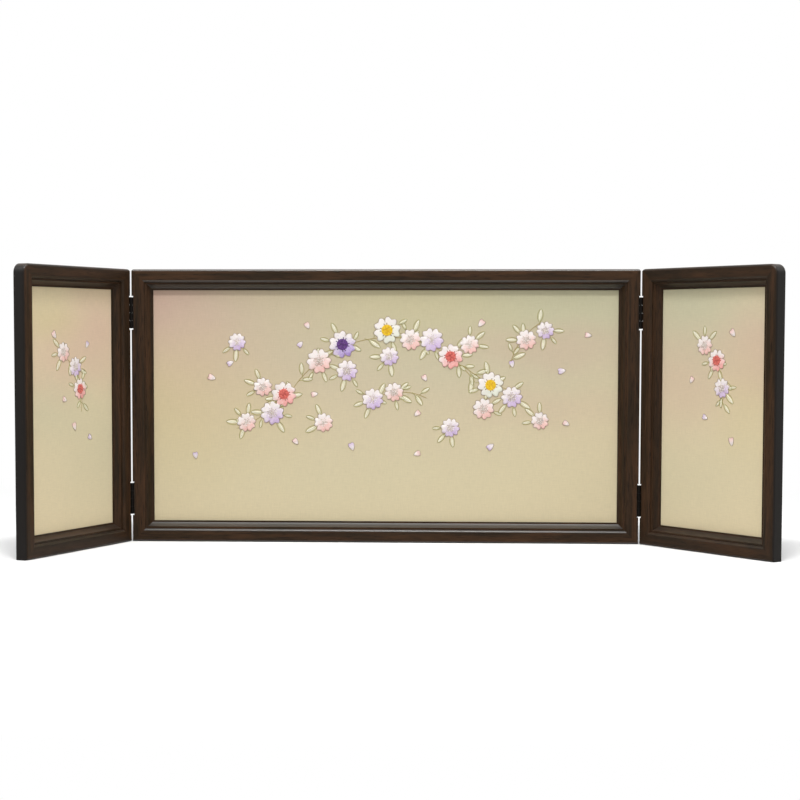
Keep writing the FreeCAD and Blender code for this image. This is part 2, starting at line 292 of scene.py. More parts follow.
class EmbroiderySettings(bpy.types.PropertyGroup):
    """The silk threads and the sizes of the stitched motifs."""

    white: bpy.props.FloatVectorProperty(
        name="White", description="Palest petal thread", subtype="COLOR",
        default=linear("#F3ECEA"), min=0, max=1)
    blush: bpy.props.FloatVectorProperty(
        name="Blush", description="Pink petal thread", subtype="COLOR",
        default=linear("#F0BDB4"), min=0, max=1)
    lilac: bpy.props.FloatVectorProperty(
        name="Lilac", description="Lavender petal thread", subtype="COLOR",
        default=linear("#CDB3DE"), min=0, max=1)
    ivory: bpy.props.FloatVectorProperty(
        name="Ivory", description="Thread of the white blossoms' outer petals", subtype="COLOR",
        default=linear("#E3E6D6"), min=0, max=1)
    rose: bpy.props.FloatVectorProperty(
        name="Rose", description="Rose thread in the coral-eyed blossoms", subtype="COLOR",
        default=linear("#F2A29C"), min=0, max=1)
    violet: bpy.props.FloatVectorProperty(
        name="Violet", description="Violet thread in the purple-eyed blossom", subtype="COLOR",
        default=linear("#A58AD0"), min=0, max=1)
    garnet: bpy.props.FloatVectorProperty(
        name="Garnet", description="Dark thread at the heart of the coral eyes", subtype="COLOR",
        default=linear("#AC3A38"), min=0, max=1)
    amber: bpy.props.FloatVectorProperty(
        name="Amber", description="Dark thread at the heart of the yellow eyes", subtype="COLOR",
        default=linear("#D6A00E"), min=0, max=1)
    coral: bpy.props.FloatVectorProperty(
        name="Coral", description="Thread of the coral eyes", subtype="COLOR",
        default=linear("#E07468"), min=0, max=1)
    yolk: bpy.props.FloatVectorProperty(
        name="Yolk", description="Thread of the yellow eyes", subtype="COLOR",
        default=linear("#F2CB1E"), min=0, max=1)
    umber: bpy.props.FloatVectorProperty(
        name="Umber", description="Dark thread of the rays round the yellow eyes", subtype="COLOR",
        default=linear("#8E7140"), min=0, max=1)
    plum: bpy.props.FloatVectorProperty(
        name="Plum", description="Thread of the purple eyes", subtype="COLOR",
        default=linear("#3B1A54"), min=0, max=1)
    aubergine: bpy.props.FloatVectorProperty(
        name="Aubergine", description="Paler thread round the purple eyes", subtype="COLOR",
        default=linear("#653A86"), min=0, max=1)
    cream: bpy.props.FloatVectorProperty(
        name="Cream", description="Pale thread of the leaves", subtype="COLOR",
        default=linear("#F3EFDC"), min=0, max=1)
    sand: bpy.props.FloatVectorProperty(
        name="Sand", description="Thread of the stamens and of the knots among them", subtype="COLOR",
        default=linear("#C4B3A5"), min=0, max=1)
    sprout: bpy.props.FloatVectorProperty(
        name="Sprout", description="Pale green thread at the foot of a leaf", subtype="COLOR",
        default=linear("#E2E1C0"), min=0, max=1)
    olive: bpy.props.FloatVectorProperty(
        name="Olive", description="Thread of the leaves' outlines, veins and stalks", subtype="COLOR",
        default=linear("#98944C"), min=0, max=1)
    taupe: bpy.props.FloatVectorProperty(
        name="Taupe", description="Fine thread round the petals", subtype="COLOR",
        default=linear("#AA9583"), min=0, max=1)
    old_gold: bpy.props.FloatVectorProperty(
        name="Old gold", description="Thread of the boughs", subtype="COLOR",
        default=linear("#A8935A"), min=0, max=1)
    stitch_spacing: bpy.props.FloatProperty(
        name="Stitch spacing", description="Distance between stitches, drawn about twice the real size",
        default=0.55 * MM, unit="LENGTH")
    crown: bpy.props.FloatProperty(
        name="Pad height", description="Height of a stitched pad over the cloth", default=0.4 * MM,
        unit="LENGTH")
    cord_width: bpy.props.FloatProperty(
        name="Cord width", description="Width of a couched thread", default=0.55 * MM, unit="LENGTH")
    leaf_length: bpy.props.FloatProperty(
        name="Leaf length", description="Length of a full-sized leaf", default=12 * MM, unit="LENGTH")
    leaf_gap: bpy.props.FloatProperty(
        name="Leaf gap", description="From a blossom's rim to the middle of its leaf", default=4.5 * MM,
        unit="LENGTH")
    leaf_spacing: bpy.props.FloatProperty(
        name="Leaf spacing", description="Between pairs of leaves along a bough", default=21 * MM,
        unit="LENGTH")
    knot: bpy.props.FloatProperty(
        name="Knot", description="Diameter of a knot in an eye", default=2.2 * MM, unit="LENGTH")
    small_knot: bpy.props.FloatProperty(
        name="Small knot", description="Diameter of a knot among the stamens of a plain blossom",
        default=1.3 * MM, unit="LENGTH")


class HardwareFinish(bpy.types.PropertyGroup):
    """The hinges, the tabs and the boards."""

    specular_share: bpy.props.FloatProperty(
        name="Black specular", description="Specular level of the blackened steel", default=0.08,
        min=0, max=1, subtype="FACTOR")
    black: bpy.props.FloatVectorProperty(
        name="Blacking", description="Colour of the blackened steel", subtype="COLOR",
        default=linear("#080503"), min=0, max=1)
    steel: bpy.props.FloatVectorProperty(
        name="Steel", description="Colour of the bare steel tabs", subtype="COLOR",
        default=linear("#B9BABD"), min=0, max=1)
    card: bpy.props.FloatVectorProperty(
        name="Backing card", description="Colour of the backing boards", subtype="COLOR",
        default=linear("#2B2723"), min=0, max=1)
    board: bpy.props.FloatVectorProperty(
        name="Hardboard", description="Colour of the boards inside the cloth", subtype="COLOR",
        default=linear("#7A5C3E"), min=0, max=1)
    beech: bpy.props.FloatVectorProperty(
        name="Splines", description="Colour of the plain splines in the mitres", subtype="COLOR",
        default=linear("#C49A6C"), min=0, max=1)
    fibre_length: bpy.props.FloatProperty(
        name="Fibre length", description="Length of a fibre in the card", default=3 * MM, unit="LENGTH")
    scratch_width: bpy.props.FloatProperty(
        name="Scratch width", description="Width of a rub mark on metal", default=0.4 * MM, unit="LENGTH")


class StudioSettings(bpy.types.PropertyGroup):
    """The camera, the lamps and the floor."""

    camera_place: bpy.props.FloatVectorProperty(
        name="Camera place", description="Where the camera stands", subtype="TRANSLATION", unit="LENGTH",
        default=(55.55 * MM, -1780.05 * MM, 212.92 * MM))
    camera_pitch: bpy.props.FloatProperty(
        name="Pitch", description="Camera's tilt above the horizon", subtype="ANGLE",
        default=math.radians(-3.317))
    camera_yaw: bpy.props.FloatProperty(
        name="Yaw", description="Camera's turn about the upright", subtype="ANGLE",
        default=math.radians(2.363))
    camera_roll: bpy.props.FloatProperty(
        name="Roll", description="Camera's roll", subtype="ANGLE", default=math.radians(-0.0695))
    focal_length: bpy.props.FloatProperty(
        name="Focal length", description="Lens, on a 36 mm sensor", subtype="DISTANCE_CAMERA",
        default=78.145)
    shift: bpy.props.FloatVectorProperty(
        name="Shift", description="Lens shift that frames the photograph", size=2, default=(0.0411, 0.0447))
    floor_reach: bpy.props.FloatProperty(
        name="Floor reach", description="Half the floor's side", default=6.0, unit="LENGTH")
    floor_sink: bpy.props.FloatProperty(
        name="Floor sink", description="Depth of the floor under the feet", default=0.05 * MM,
        unit="LENGTH")
    floor_near: bpy.props.FloatProperty(
        name="Shadow reach", description="Distance within which the floor shows the shadow in full",
        default=0.45, unit="LENGTH")
    floor_far: bpy.props.FloatProperty(
        name="White from", description="Distance past which the floor is the white of the background",
        default=0.9, unit="LENGTH")
    key_power: bpy.props.FloatProperty(
        name="Key lamp", description="High front lamp that throws the rails' shadow", unit="POWER",
        default=27.4)
    overhead_power: bpy.props.FloatProperty(
        name="Overhead lamp", description="Broad lamp above", unit="POWER", default=30.3)
    front_power: bpy.props.FloatProperty(
        name="Front lamp", description="Weak broad lamp in front", unit="POWER", default=7.7)
    left_power: bpy.props.FloatProperty(
        name="Left lamp", description="Broad lamp at the left", unit="POWER", default=4.9)
    right_power: bpy.props.FloatProperty(
        name="Right lamp", description="Broad lamp at the right", unit="POWER", default=6.2)
    fill: bpy.props.FloatProperty(
        name="Fill", description="Strength of the world's light on the object", default=0.26, min=0)
    floor: bpy.props.FloatVectorProperty(
        name="Floor", description="Colour of the floor as the camera sees it", subtype="COLOR",
        default=linear("#F2F2F2"), min=0, max=1)
    floor_bounce: bpy.props.FloatVectorProperty(
        name="Floor bounce", description="Colour of the floor as it lights the object", subtype="COLOR",
        default=linear("#BCBAB6"), min=0, max=1)


# Materials

def stained_wood(name, finish, panel, upright, shade_free_edge):
    """Ash or a like open-grained hardwood, planed, stained near black-brown and oiled. That gives long
    warm streaks, dark open pores that catch the stain, and a low sheen, with a glossier coat where a
    face slopes up or down. There a painted grey sheen, standing in for the lamps' reflection, is mixed
    into the colour, and where asked, painted shade turns the wings' outward free edges near black. The
    pores are drawn three times too wide, to show."""
    material, tree, output = new_material(name)
    place = add(tree, "ShaderNodeTexCoord").outputs["Object"]
    angles = (0, math.pi / 2, 0) if upright else (0, 0, -panel.turn)
    along = add(tree, "ShaderNodeMapping", {"Vector": place, "Rotation": angles})
    streak = (1 / finish.figure_length, 1 / finish.figure_width, 1 / finish.figure_width)
    figure_place = add(tree, "ShaderNodeMapping", {"Vector": along.outputs[0], "Scale": streak})
    figure = add(tree, "ShaderNodeTexNoise", {
        "Vector": figure_place.outputs[0], "Scale": 1.0, "Detail": 4.0, "Roughness": 0.55,
        "Distortion": 0.4})
    streaks = add(tree, "ShaderNodeMapRange", {
        "Value": figure.outputs["Fac"], "From Min": 0.38, "From Max": 0.72})
    pore_scale = (1 / finish.pore_length, 1 / finish.pore_width, 1 / finish.pore_width)
    pore_place = add(tree, "ShaderNodeMapping", {"Vector": along.outputs[0], "Scale": pore_scale})
    pores = add(tree, "ShaderNodeTexNoise", {
        "Vector": pore_place.outputs[0], "Scale": 1.0, "Detail": 2.0, "Roughness": 0.6})
    open_pores = add(tree, "ShaderNodeMapRange", {
        "Value": pores.outputs["Fac"], "From Min": 0.52, "From Max": 0.72})
    # The wings' wood is darker than the centre's by the wing tone.
    tone = finish.wing_tone if panel.free_side else 1
    stain = add(tree, "ShaderNodeMix", {
        "Factor": streaks.outputs[0], "A": opaque(finish.dark, tone), "B": opaque(finish.warm, tone)},
        data_type="RGBA")
    darkened = add(tree, "ShaderNodeMix", {
        "Factor": open_pores.outputs[0], "A": stain.outputs["Result"], "B": opaque(finish.pore)},
        data_type="RGBA")
    relief = add(tree, "ShaderNodeBump", {
        "Strength": 0.25, "Distance": 0.1 * MM, "Height": open_pores.outputs[0]}, invert=True)
    sheen = add(tree, "ShaderNodeMapRange", {
        "Value": figure.outputs["Fac"], "From Min": 0.3, "From Max": 0.7, "To Min": 0.34, "To Max": 0.44})
    normal = add(tree, "ShaderNodeTexCoord").outputs["Normal"]
    upward = add(tree, "ShaderNodeSeparateXYZ", {"Vector": normal})
    slope = add(tree, "ShaderNodeMath", {0: upward.outputs["Z"]}, operation="ABSOLUTE")
    # Faces that slope up or down, up to the panel's gloss: the coat's weight there and, times the sheen
    # share, the amount of painted grey sheen.
    rubbed = add(tree, "ShaderNodeMapRange", {
        "Value": slope.outputs[0], "From Min": 0.1, "From Max": 0.5,
        "To Max": finish.wing_gloss if panel.free_side else finish.centre_gloss},
        interpolation_type="SMOOTHSTEP")
    # Painted shade: faces at a wing's free edge that point outward turn near black, standing in for the
    # shade on them.
    outward = tuple(panel.right * panel.free_side * shade_free_edge)
    facing = add(tree, "ShaderNodeVectorMath", {0: normal, 1: outward}, operation="DOT_PRODUCT")
    painted_edge_shade = add(tree, "ShaderNodeMapRange", {
        "Value": facing.outputs["Value"], "From Min": 0.3, "From Max": 0.95},
        interpolation_type="SMOOTHSTEP")
    edge_shaded_wood = add(tree, "ShaderNodeMix", {
        "Factor": painted_edge_shade.outputs[0], "A": darkened.outputs["Result"], "B": opaque(finish.edge)},
        data_type="RGBA")
    # Painted sheen: grey mixed into the colour on faces that slope up or down, standing in for the lamps'
    # reflection there.
    painted_sheen_amount = add(tree, "ShaderNodeMath", {0: rubbed.outputs[0], 1: finish.painted_sheen_share},
                       operation="MULTIPLY")
    sheen_painted = add(tree, "ShaderNodeMix", {
        "Factor": painted_sheen_amount.outputs[0], "A": edge_shaded_wood.outputs["Result"], "B": opaque(finish.painted_sheen)},
        data_type="RGBA")
    surface = add(tree, "ShaderNodeBsdfPrincipled", {
        "Base Color": sheen_painted.outputs["Result"], "Roughness": sheen.outputs[0], "IOR": 1.5,
        "Specular IOR Level": 0.1, "Normal": relief.outputs[0], "Coat Weight": rubbed.outputs[0],
        "Coat IOR": 1.5, "Coat Roughness": 0.32})
    tree.links.new(surface.outputs[0], output.inputs["Surface"])
    return material


# How far waves push a cloud's edge, as a share of the cloth.
CLOUD_DRIFT = 0.16

# The clouds of each panel's cloth: middle across and up, reach across and up, all as shares of the
# cloth, then the strength and the dye. They are partly the cloth's dye and partly painted shade: the
# darker clouds along the top darken the cloth's upper part.
DYE_AND_SHADE_CLOUDS = {
    "centre": (
        (0.1, 1.0, 0.65, 0.65, 1.0, "rose"),
        (0.5, 0.55, 1.15, 1.05, 0.4, "moss"),
        (0.7, 1.0, 0.85, 0.65, 0.95, "moss"),
        (0.0, 0.5, 0.45, 0.45, 0.55, "honey"),
        (0.55, 0.95, 0.55, 0.35, 0.5, "honey"),
        (0.85, 0.75, 0.35, 0.15, 0.3, "rose"),
        (0.85, 0.5, 0.25, 0.15, 0.15, "rose"),
        (0.55, 0.55, 0.95, 0.4, 0.15, "rose"),
    ),
    "left_wing": (
        (0.8, 0.8, 0.65, 0.35, 0.55, "rose"),
        (0.3, 0.7, 0.55, 0.25, 0.4, "rose"),
        (0.25, 0.85, 0.55, 0.15, 0.6, "honey"),
        (0.15, 0.5, 0.75, 0.2, 0.3, "moss"),
        (1.05, 0.35, 1.55, 0.5, 0.4, "moss"),
    ),
    "right_wing": (
        (0.25, 0.95, 1.35, 0.65, 0.7, "moss"),
        (0.2, 0.6, 1.05, 0.35, 0.35, "rose"),
        (0.95, 0.75, 0.6, 0.3, 0.45, "rose"),
        (0.8, 0.5, 0.4, 0.35, 0.4, "honey"),
        (0.1, 0.25, 1.55, 0.4, 0.3, "moss"),
    ),
}


def dyed_cloth(name, cloth, panel):
    """Plain-woven silk with a metallic weft, dyed by hand. That gives fine crossed threads with slubs,
    drawn about twice too coarse, to show, a soft sheen, and clouds of dye that melt into the gold: each
    fades smoothly from its middle to its reach. The darker clouds along the top are partly dye and
    partly painted shade on the cloth's upper part."""
    material, tree, output = new_material(name)
    flat = add(tree, "ShaderNodeUVMap", uv_map="pattern").outputs[0]
    to_shares = (0.5 / panel.half_width, 1 / (panel.high - panel.low), 1)
    shares = add(tree, "ShaderNodeMapping", {
        "Vector": flat, "Location": (0.5, 0.5, 0), "Scale": to_shares})
    waves = add(tree, "ShaderNodeTexNoise", {
        "Vector": flat, "Scale": 1 / cloth.cloud_width, "Detail": 2.0, "Roughness": 0.5})
    drift = add(tree, "ShaderNodeVectorMath", {0: waves.outputs["Color"], 1: (0.5, 0.5, 0.5)},
                operation="SUBTRACT")
    drawn = add(tree, "ShaderNodeVectorMath", {
        0: drift.outputs[0], 1: (CLOUD_DRIFT, CLOUD_DRIFT, 0), 2: shares.outputs[0]},
        operation="MULTIPLY_ADD")
    dyed = opaque(cloth.gold)
    # Each cloud is the cloth's dye, and those along the top are also painted shade.
    for across, up, reach_across, reach_up, strength, dye in DYE_AND_SHADE_CLOUDS[panel.name]:
        offset = add(tree, "ShaderNodeMapping", {
            "Vector": drawn.outputs[0], "Location": (-across / reach_across, -up / reach_up, 0),
            "Scale": (1 / reach_across, 1 / reach_up, 0)})
        distance = add(tree, "ShaderNodeVectorMath", {0: offset.outputs[0]}, operation="LENGTH")
        amount = add(tree, "ShaderNodeMapRange", {
            "Value": distance.outputs["Value"], "To Min": strength, "To Max": 0.0},
            interpolation_type="SMOOTHSTEP")
        dyed = add(tree, "ShaderNodeMix", {
            "Factor": amount.outputs[0], "A": dyed, "B": opaque(getattr(cloth, dye))},
            data_type="RGBA").outputs["Result"]
    across_threads = (1 / cloth.thread_spacing, 1 / cloth.slub_length, 1)
    along_threads = (1 / cloth.slub_length, 1 / cloth.thread_spacing, 1)
    warp_place = add(tree, "ShaderNodeMapping", {"Vector": flat, "Scale": across_threads})
    weft_place = add(tree, "ShaderNodeMapping", {"Vector": flat, "Scale": along_threads})
    warp = add(tree, "ShaderNodeTexNoise", {"Vector": warp_place.outputs[0], "Scale": 1.0, "Detail": 1.0})
    weft = add(tree, "ShaderNodeTexNoise", {"Vector": weft_place.outputs[0], "Scale": 1.0, "Detail": 1.0})
    weave = add(tree, "ShaderNodeMath", {0: warp.outputs["Fac"], 1: weft.outputs["Fac"]}, operation="ADD")
    shade = add(tree, "ShaderNodeMapRange", {
        "Value": weave.outputs[0], "From Min": 0.6, "From Max": 1.4, "To Min": 0.95, "To Max": 1.04})
    threads = add(tree, "ShaderNodeVectorMath", {0: dyed, "Scale": shade.outputs[0]}, operation="SCALE")
    relief = add(tree, "ShaderNodeBump", {
        "Strength": 0.15, "Distance": 0.1 * MM, "Height": weave.outputs[0]})
    surface = add(tree, "ShaderNodeBsdfPrincipled", {
        "Base Color": threads.outputs[0], "Roughness": 0.72, "IOR": 1.5, "Specular IOR Level": 0.3,
        "Sheen Weight": 0.12, "Sheen Roughness": 0.5, "Normal": relief.outputs[0]})
    tree.links.new(surface.outputs[0], output.inputs["Surface"])
    return material


# Stray floss is this many stitches long for each stitch that it is wide.
FLOSS_STRETCH = 5


def satin_stitch(name, pale, deep, embroidery):
    """Glossy silk floss laid side by side in satin stitch. That gives small ridges along the pad, drawn
    about twice too wide, to show, a colour that runs from pale to deep thread over a motif, and a soft
    shine."""
    material, tree, output = new_material(name)
    flat = add(tree, "ShaderNodeUVMap", uv_map="pattern").outputs[0]
    tint = add(tree, "ShaderNodeAttribute", attribute_name="tint")
    floss_scale = (1 / embroidery.stitch_spacing, 1 / embroidery.stitch_spacing / FLOSS_STRETCH, 1)
    floss_place = add(tree, "ShaderNodeMapping", {"Vector": flat, "Scale": floss_scale})
    floss = add(tree, "ShaderNodeTexNoise", {"Vector": floss_place.outputs[0], "Scale": 1.0, "Detail": 1.0})
    stray = add(tree, "ShaderNodeMapRange", {
        "Value": floss.outputs["Fac"], "From Min": 0.3, "From Max": 0.7, "To Min": -0.22, "To Max": 0.22})
    mixed = add(tree, "ShaderNodeMath", {0: tint.outputs["Fac"], 1: stray.outputs[0]},
                operation="ADD", use_clamp=True)
    colour = add(tree, "ShaderNodeMix", {
        "Factor": mixed.outputs[0], "A": opaque(pale), "B": opaque(deep)}, data_type="RGBA")
    across = add(tree, "ShaderNodeSeparateXYZ", {"Vector": flat})
    turns = add(tree, "ShaderNodeMath", {0: across.outputs["X"], 1: math.tau / embroidery.stitch_spacing},
                operation="MULTIPLY")
    ridge = add(tree, "ShaderNodeMath", {0: turns.outputs[0]}, operation="SINE")
    relief = add(tree, "ShaderNodeBump", {
        "Strength": 0.5, "Distance": 0.12 * MM, "Height": ridge.outputs[0]})
    surface = add(tree, "ShaderNodeBsdfPrincipled", {
        "Base Color": colour.outputs["Result"], "Roughness": 0.42, "IOR": 1.5, "Specular IOR Level": 0.4,
        "Sheen Weight": 0.1, "Normal": relief.outputs[0]})
    tree.links.new(surface.outputs[0], output.inputs["Surface"])
    return material


# How much rub marks take from the roughness of steel, and add to it.
RUBBED_SMOOTHER = 0.08
RUBBED_ROUGHER = 0.1


def sheet_steel(name, colour, hardware, metallic, specular, roughness):
    """Steel plate, stamped and then blackened or left bare: a smooth face, a little rubbed, whose gloss
    changes in fine marks."""
    material, tree, output = new_material(name)
    place = add(tree, "ShaderNodeTexCoord").outputs["Object"]
    marks = add(tree, "ShaderNodeTexNoise", {
        "Vector": place, "Scale": 1 / hardware.scratch_width, "Detail": 3.0, "Roughness": 0.6})
    gloss = add(tree, "ShaderNodeMapRange", {
        "Value": marks.outputs["Fac"], "From Min": 0.3, "From Max": 0.7,
        "To Min": roughness - RUBBED_SMOOTHER, "To Max": roughness + RUBBED_ROUGHER})
    rubbed = add(tree, "ShaderNodeMapRange", {
        "Value": marks.outputs["Fac"], "From Min": 0.3, "From Max": 0.75, "To Min": 0.85, "To Max": 1.25})
    tone = add(tree, "ShaderNodeVectorMath", {0: colour, "Scale": rubbed.outputs[0]}, operation="SCALE")
    relief = add(tree, "ShaderNodeBump", {
        "Strength": 0.1, "Distance": 0.05 * MM, "Height": marks.outputs["Fac"]})
    surface = add(tree, "ShaderNodeBsdfPrincipled", {
        "Base Color": tone.outputs[0], "Roughness": gloss.outputs[0], "Metallic": metallic,
        "Specular IOR Level": specular, "Normal": relief.outputs[0]})
    tree.links.new(surface.outputs[0], output.inputs["Surface"])
    return material


def pressed_fibre(name, colour, hardware):
    """Pressed fibre board or plain wood, dull and even: short fibres show as a fine mottle."""
    material, tree, output = new_material(name)
    place = add(tree, "ShaderNodeTexCoord").outputs["Object"]
    fibres = add(tree, "ShaderNodeTexNoise", {
        "Vector": place, "Scale": 1 / hardware.fibre_length, "Detail": 5.0, "Roughness": 0.65})
    mottle = add(tree, "ShaderNodeMapRange", {
        "Value": fibres.outputs["Fac"], "From Min": 0.3, "From Max": 0.7, "To Min": 0.8, "To Max": 1.2})
    tone = add(tree, "ShaderNodeVectorMath", {0: colour, "Scale": mottle.outputs[0]}, operation="SCALE")
    relief = add(tree, "ShaderNodeBump", {
        "Strength": 0.15, "Distance": 0.1 * MM, "Height": fibres.outputs["Fac"]})
    surface = add(tree, "ShaderNodeBsdfPrincipled", {
        "Base Color": tone.outputs[0], "Roughness": 0.75, "Specular IOR Level": 0.3,
        "Normal": relief.outputs[0]})
    tree.links.new(surface.outputs[0], output.inputs["Surface"])
    return material


# Cloth

# Steps round each quarter bend at the board's edge.
BEND_STEPS = 3


def over_the_edge(run, radius, depth):
    """How far out and how far back the cloth is after a run past the board's flat face: a quarter round
    of the radius, straight down the edge, a second quarter round, and then back in behind the board."""
    quarter = radius * math.pi / 2
    side = depth - 2 * radius
    first = np.clip(run, 0, quarter) / radius
    straight = np.clip(run - quarter, 0, side)
    second = np.clip(run - quarter - side, 0, quarter) / radius
    inward = np.clip(run - 2 * quarter - side, 0, None)
    out = radius * np.sin(first) - radius * (1 - np.cos(second)) - inward
    back = radius * (1 - np.cos(first)) + straight + radius * np.sin(second)
    return out, back


def cloth_lines(half, radius, depth, turn_in, pitch):
    """Places along one side of the flat cut, from its middle out: even steps over the face, and finer
    ones round the edge."""
    face = half - radius
    quarter = radius * math.pi / 2
    straight = depth - 2 * radius
    steps = max(2, round(face / pitch))
    bend = quarter * np.linspace(0, 1, BEND_STEPS + 1)
    past = np.concatenate([bend[1:], quarter + straight + bend, [2 * quarter + straight + turn_in]])
    outer = np.concatenate([np.linspace(0, face, steps + 1), face + past])
    return np.concatenate([-outer[:0:-1], outer])


def stretched_cloth(panel, cloth):
    """The cloth on its board, as a function of its place on the flat cut: each point keeps its place
    over the face, and past it follows the run over the edge, by the larger of its two overruns."""
    middle = (panel.low + panel.high) / 2
    half_height = (panel.high - panel.low) / 2
    radius = cloth.edge_radius
    across = cloth_lines(panel.half_width, radius, panel.depth, cloth.turn_in, cloth.mesh_pitch)
    up = cloth_lines(half_height, radius, panel.depth, cloth.turn_in, cloth.mesh_pitch)
    flat_up, flat_across = np.meshgrid(up, across, indexing="ij")
    past_across = np.maximum(np.abs(flat_across) - (panel.half_width - radius), 0)
    past_up = np.maximum(np.abs(flat_up) - (half_height - radius), 0)
    run = np.maximum(past_across, past_up)
    out, back = over_the_edge(run, radius, panel.depth)
    share = out / np.maximum(run, TINY)
    x = np.sign(flat_across) * (np.abs(flat_across) - past_across + share * past_across)
    z = np.sign(flat_up) * (np.abs(flat_up) - past_up + share * past_up)
    points = panel.place(x, middle + z, -back)
    uv = np.stack([flat_across, flat_up], axis=-1)
    made = mesh_from_grids(panel.name + "_cloth", points[None], uv[None], tint=0.0, closed=False)
    middle_face = len(up) // 2 * (len(across) - 1) + len(across) // 2
    if np.dot(made.data.polygons[middle_face].normal, panel.front) < 0:
        made.data.flip_normals()
    wall = made.modifiers.new("thickness", "SOLIDIFY")
    wall.thickness = cloth.thickness
    wall.offset = -1
    return made, (2 * across[-1], 2 * up[-1])


# Embroidery

# Blossoms: across as a share of half the cloth's width, up and diameter as shares of its height, then
# the turn in degrees and the kind of thread.
BLOSSOM_SHARES = {
    "centre": (
        (-0.18, 0.76, 0.115, 15, "plum"), (-0.28, 0.69, 0.105, 40, "blush"),
        (-0.16, 0.65, 0.09, 33, "lilac"), (0.01, 0.82, 0.115, 50, "yolk"),
        (0.11, 0.78, 0.09, 5, "blush"), (0.02, 0.71, 0.08, 28, "lilac"),
        (0.28, 0.71, 0.105, 55, "coral"), (0.2, 0.78, 0.1, 30, "lilac"),
        (0.36, 0.76, 0.08, 62, "blush"), (0.45, 0.59, 0.11, 12, "yolk"),
        (0.54, 0.54, 0.09, 38, "lilac"), (0.42, 0.49, 0.09, 60, "blush"),
        (-0.43, 0.55, 0.105, 25, "coral"), (-0.52, 0.58, 0.08, 14, "blush"),
        (-0.48, 0.47, 0.1, 52, "lilac"), (-0.59, 0.43, 0.08, 8, "blush"),
        (-0.05, 0.53, 0.09, 22, "lilac"), (0.04, 0.56, 0.08, 48, "blush"),
        (0.6, 0.78, 0.085, 18, "blush"), (0.68, 0.82, 0.075, 44, "lilac"),
        (-0.26, 0.43, 0.08, 14, "blush"), (0.28, 0.41, 0.08, 28, "lilac"),
        (-0.63, 0.77, 0.075, 35, "lilac"), (0.66, 0.44, 0.075, 10, "blush"),
    ),
    "left_wing": (
        (-0.22, 0.73, 0.08, 20, "blush"), (0.06, 0.67, 0.08, 50, "lilac"),
        (0.17, 0.58, 0.085, 5, "coral"),
    ),
    "right_wing": (
        (-0.14, 0.76, 0.08, 0, "blush"), (0.09, 0.7, 0.09, 30, "coral"),
        (0.19, 0.59, 0.08, 45, "lilac"),
    ),
}

# Loose petals and buds: across, up and length as the same shares, turn in degrees and kind of thread.
PETAL_SPOT_SHARES = {
    "centre": (
        (-0.74, 0.62, 0.035, 70, "blush"), (-0.66, 0.68, 0.03, 120, "lilac"),
        (-0.33, 0.84, 0.03, 30, "blush"), (0.41, 0.85, 0.035, -40, "blush"),
        (0.75, 0.65, 0.035, 100, "lilac"), (0.77, 0.43, 0.03, 60, "blush"),
        (-0.14, 0.33, 0.035, 20, "lilac"), (0.14, 0.3, 0.03, -70, "blush"),
        (-0.38, 0.35, 0.03, 40, "blush"), (0.45, 0.33, 0.035, 130, "lilac"),
        (0.86, 0.8, 0.03, 80, "blush"), (-0.81, 0.29, 0.03, 10, "lilac"),
        (-0.3, 0.55, 0.03, 100, "blush"), (0.17, 0.62, 0.03, 30, "blush"),
        (-0.36, 0.76, 0.03, 140, "lilac"), (0.14, 0.47, 0.03, -50, "blush"),
        (0.54, 0.68, 0.03, 15, "lilac"),
    ),
    "left_wing": (
        (-0.43, 0.8, 0.035, 40, "blush"), (0.35, 0.76, 0.03, -30, "lilac"),
        (-0.2, 0.54, 0.03, 70, "blush"), (0.03, 0.43, 0.035, 20, "blush"),
        (0.4, 0.38, 0.03, 60, "lilac"),
    ),
    "right_wing": (
        (0.38, 0.81, 0.035, 40, "blush"), (-0.38, 0.62, 0.03, -30, "blush"),
        (-0.12, 0.47, 0.03, 70, "lilac"), (0.38, 0.38, 0.035, 10, "blush"),
    ),
}

# Boughs as arcs: across, up and radius as the same shares, first and last angle in degrees.
BOUGH_SHARES = {
    "centre": (
        (0.02, 0.3, 0.49, 156, 94), (0.02, 0.35, 0.44, 88, 34), (0.63, 1.0, 0.44, 228, 262),
        (-0.73, 0.73, 0.34, 332, 286), (0.07, 0.32, 0.24, 128, 62), (0.8, 0.62, 0.27, 172, 120),
    ),
    "left_wing": (
        (-0.49, 0.53, 0.2, 66, -14),
    ),
    "right_wing": (
        (-0.52, 0.57, 0.21, 54, -18),
    ),
}

# How finely the pads and threads are drawn: sides round each, rings of a pad as shares of its outline,
# and steps along a thread.
PETAL_SIDES = 28
LEAF_SIDES = 12
KNOT_SIDES = 8
THREAD_SIDES = 5
RINGS_ON_TOP = np.array([0, 0.45, 0.78, 0.93, 1])
RINGS_UNDERNEATH = np.array([0.6, 0])
LEAF_STEPS = 17
BOUGH_STEPS = 49

# Petals, buds and knots: width, spread towards the tip and depth of the notch, as shares of the length.
# Then how far the notch reaches round the tip, in radians, and how far round them their thread runs.
PETAL_SHARES = (0.8, 0.46, 0.2)
BUD_SHARES = (0.66, 0.42, 0.15)
KNOT_SHARES = (1.0, 0.0, 0.0)
NOTCH_ANGLE = 0.32
OUTLINE_SHARE = 1.06

# A blossom's petals: their length and the reach of their middles as shares of its diameter, and the
# step between the heights they lie at as a share of a pad's height.
PETALS_EACH = 5
PETAL_LENGTH_SHARE = 0.5
PETAL_REACH_SHARE = 0.27
LIFT_SHARE = 0.25

# Tints run from 0 to 1: a blossom's at its middle, its change over the diameter rightwards and upwards,
# and over a petal's length. Then that at the middle of a fallen petal and of a leaf.
BLOSSOM_TINT = 0.38
TINT_RIGHTWARDS = 0.72
TINT_UPWARDS = -1.44
TINT_OUTWARDS = -0.55
MIDDLE_TINT = 0.35

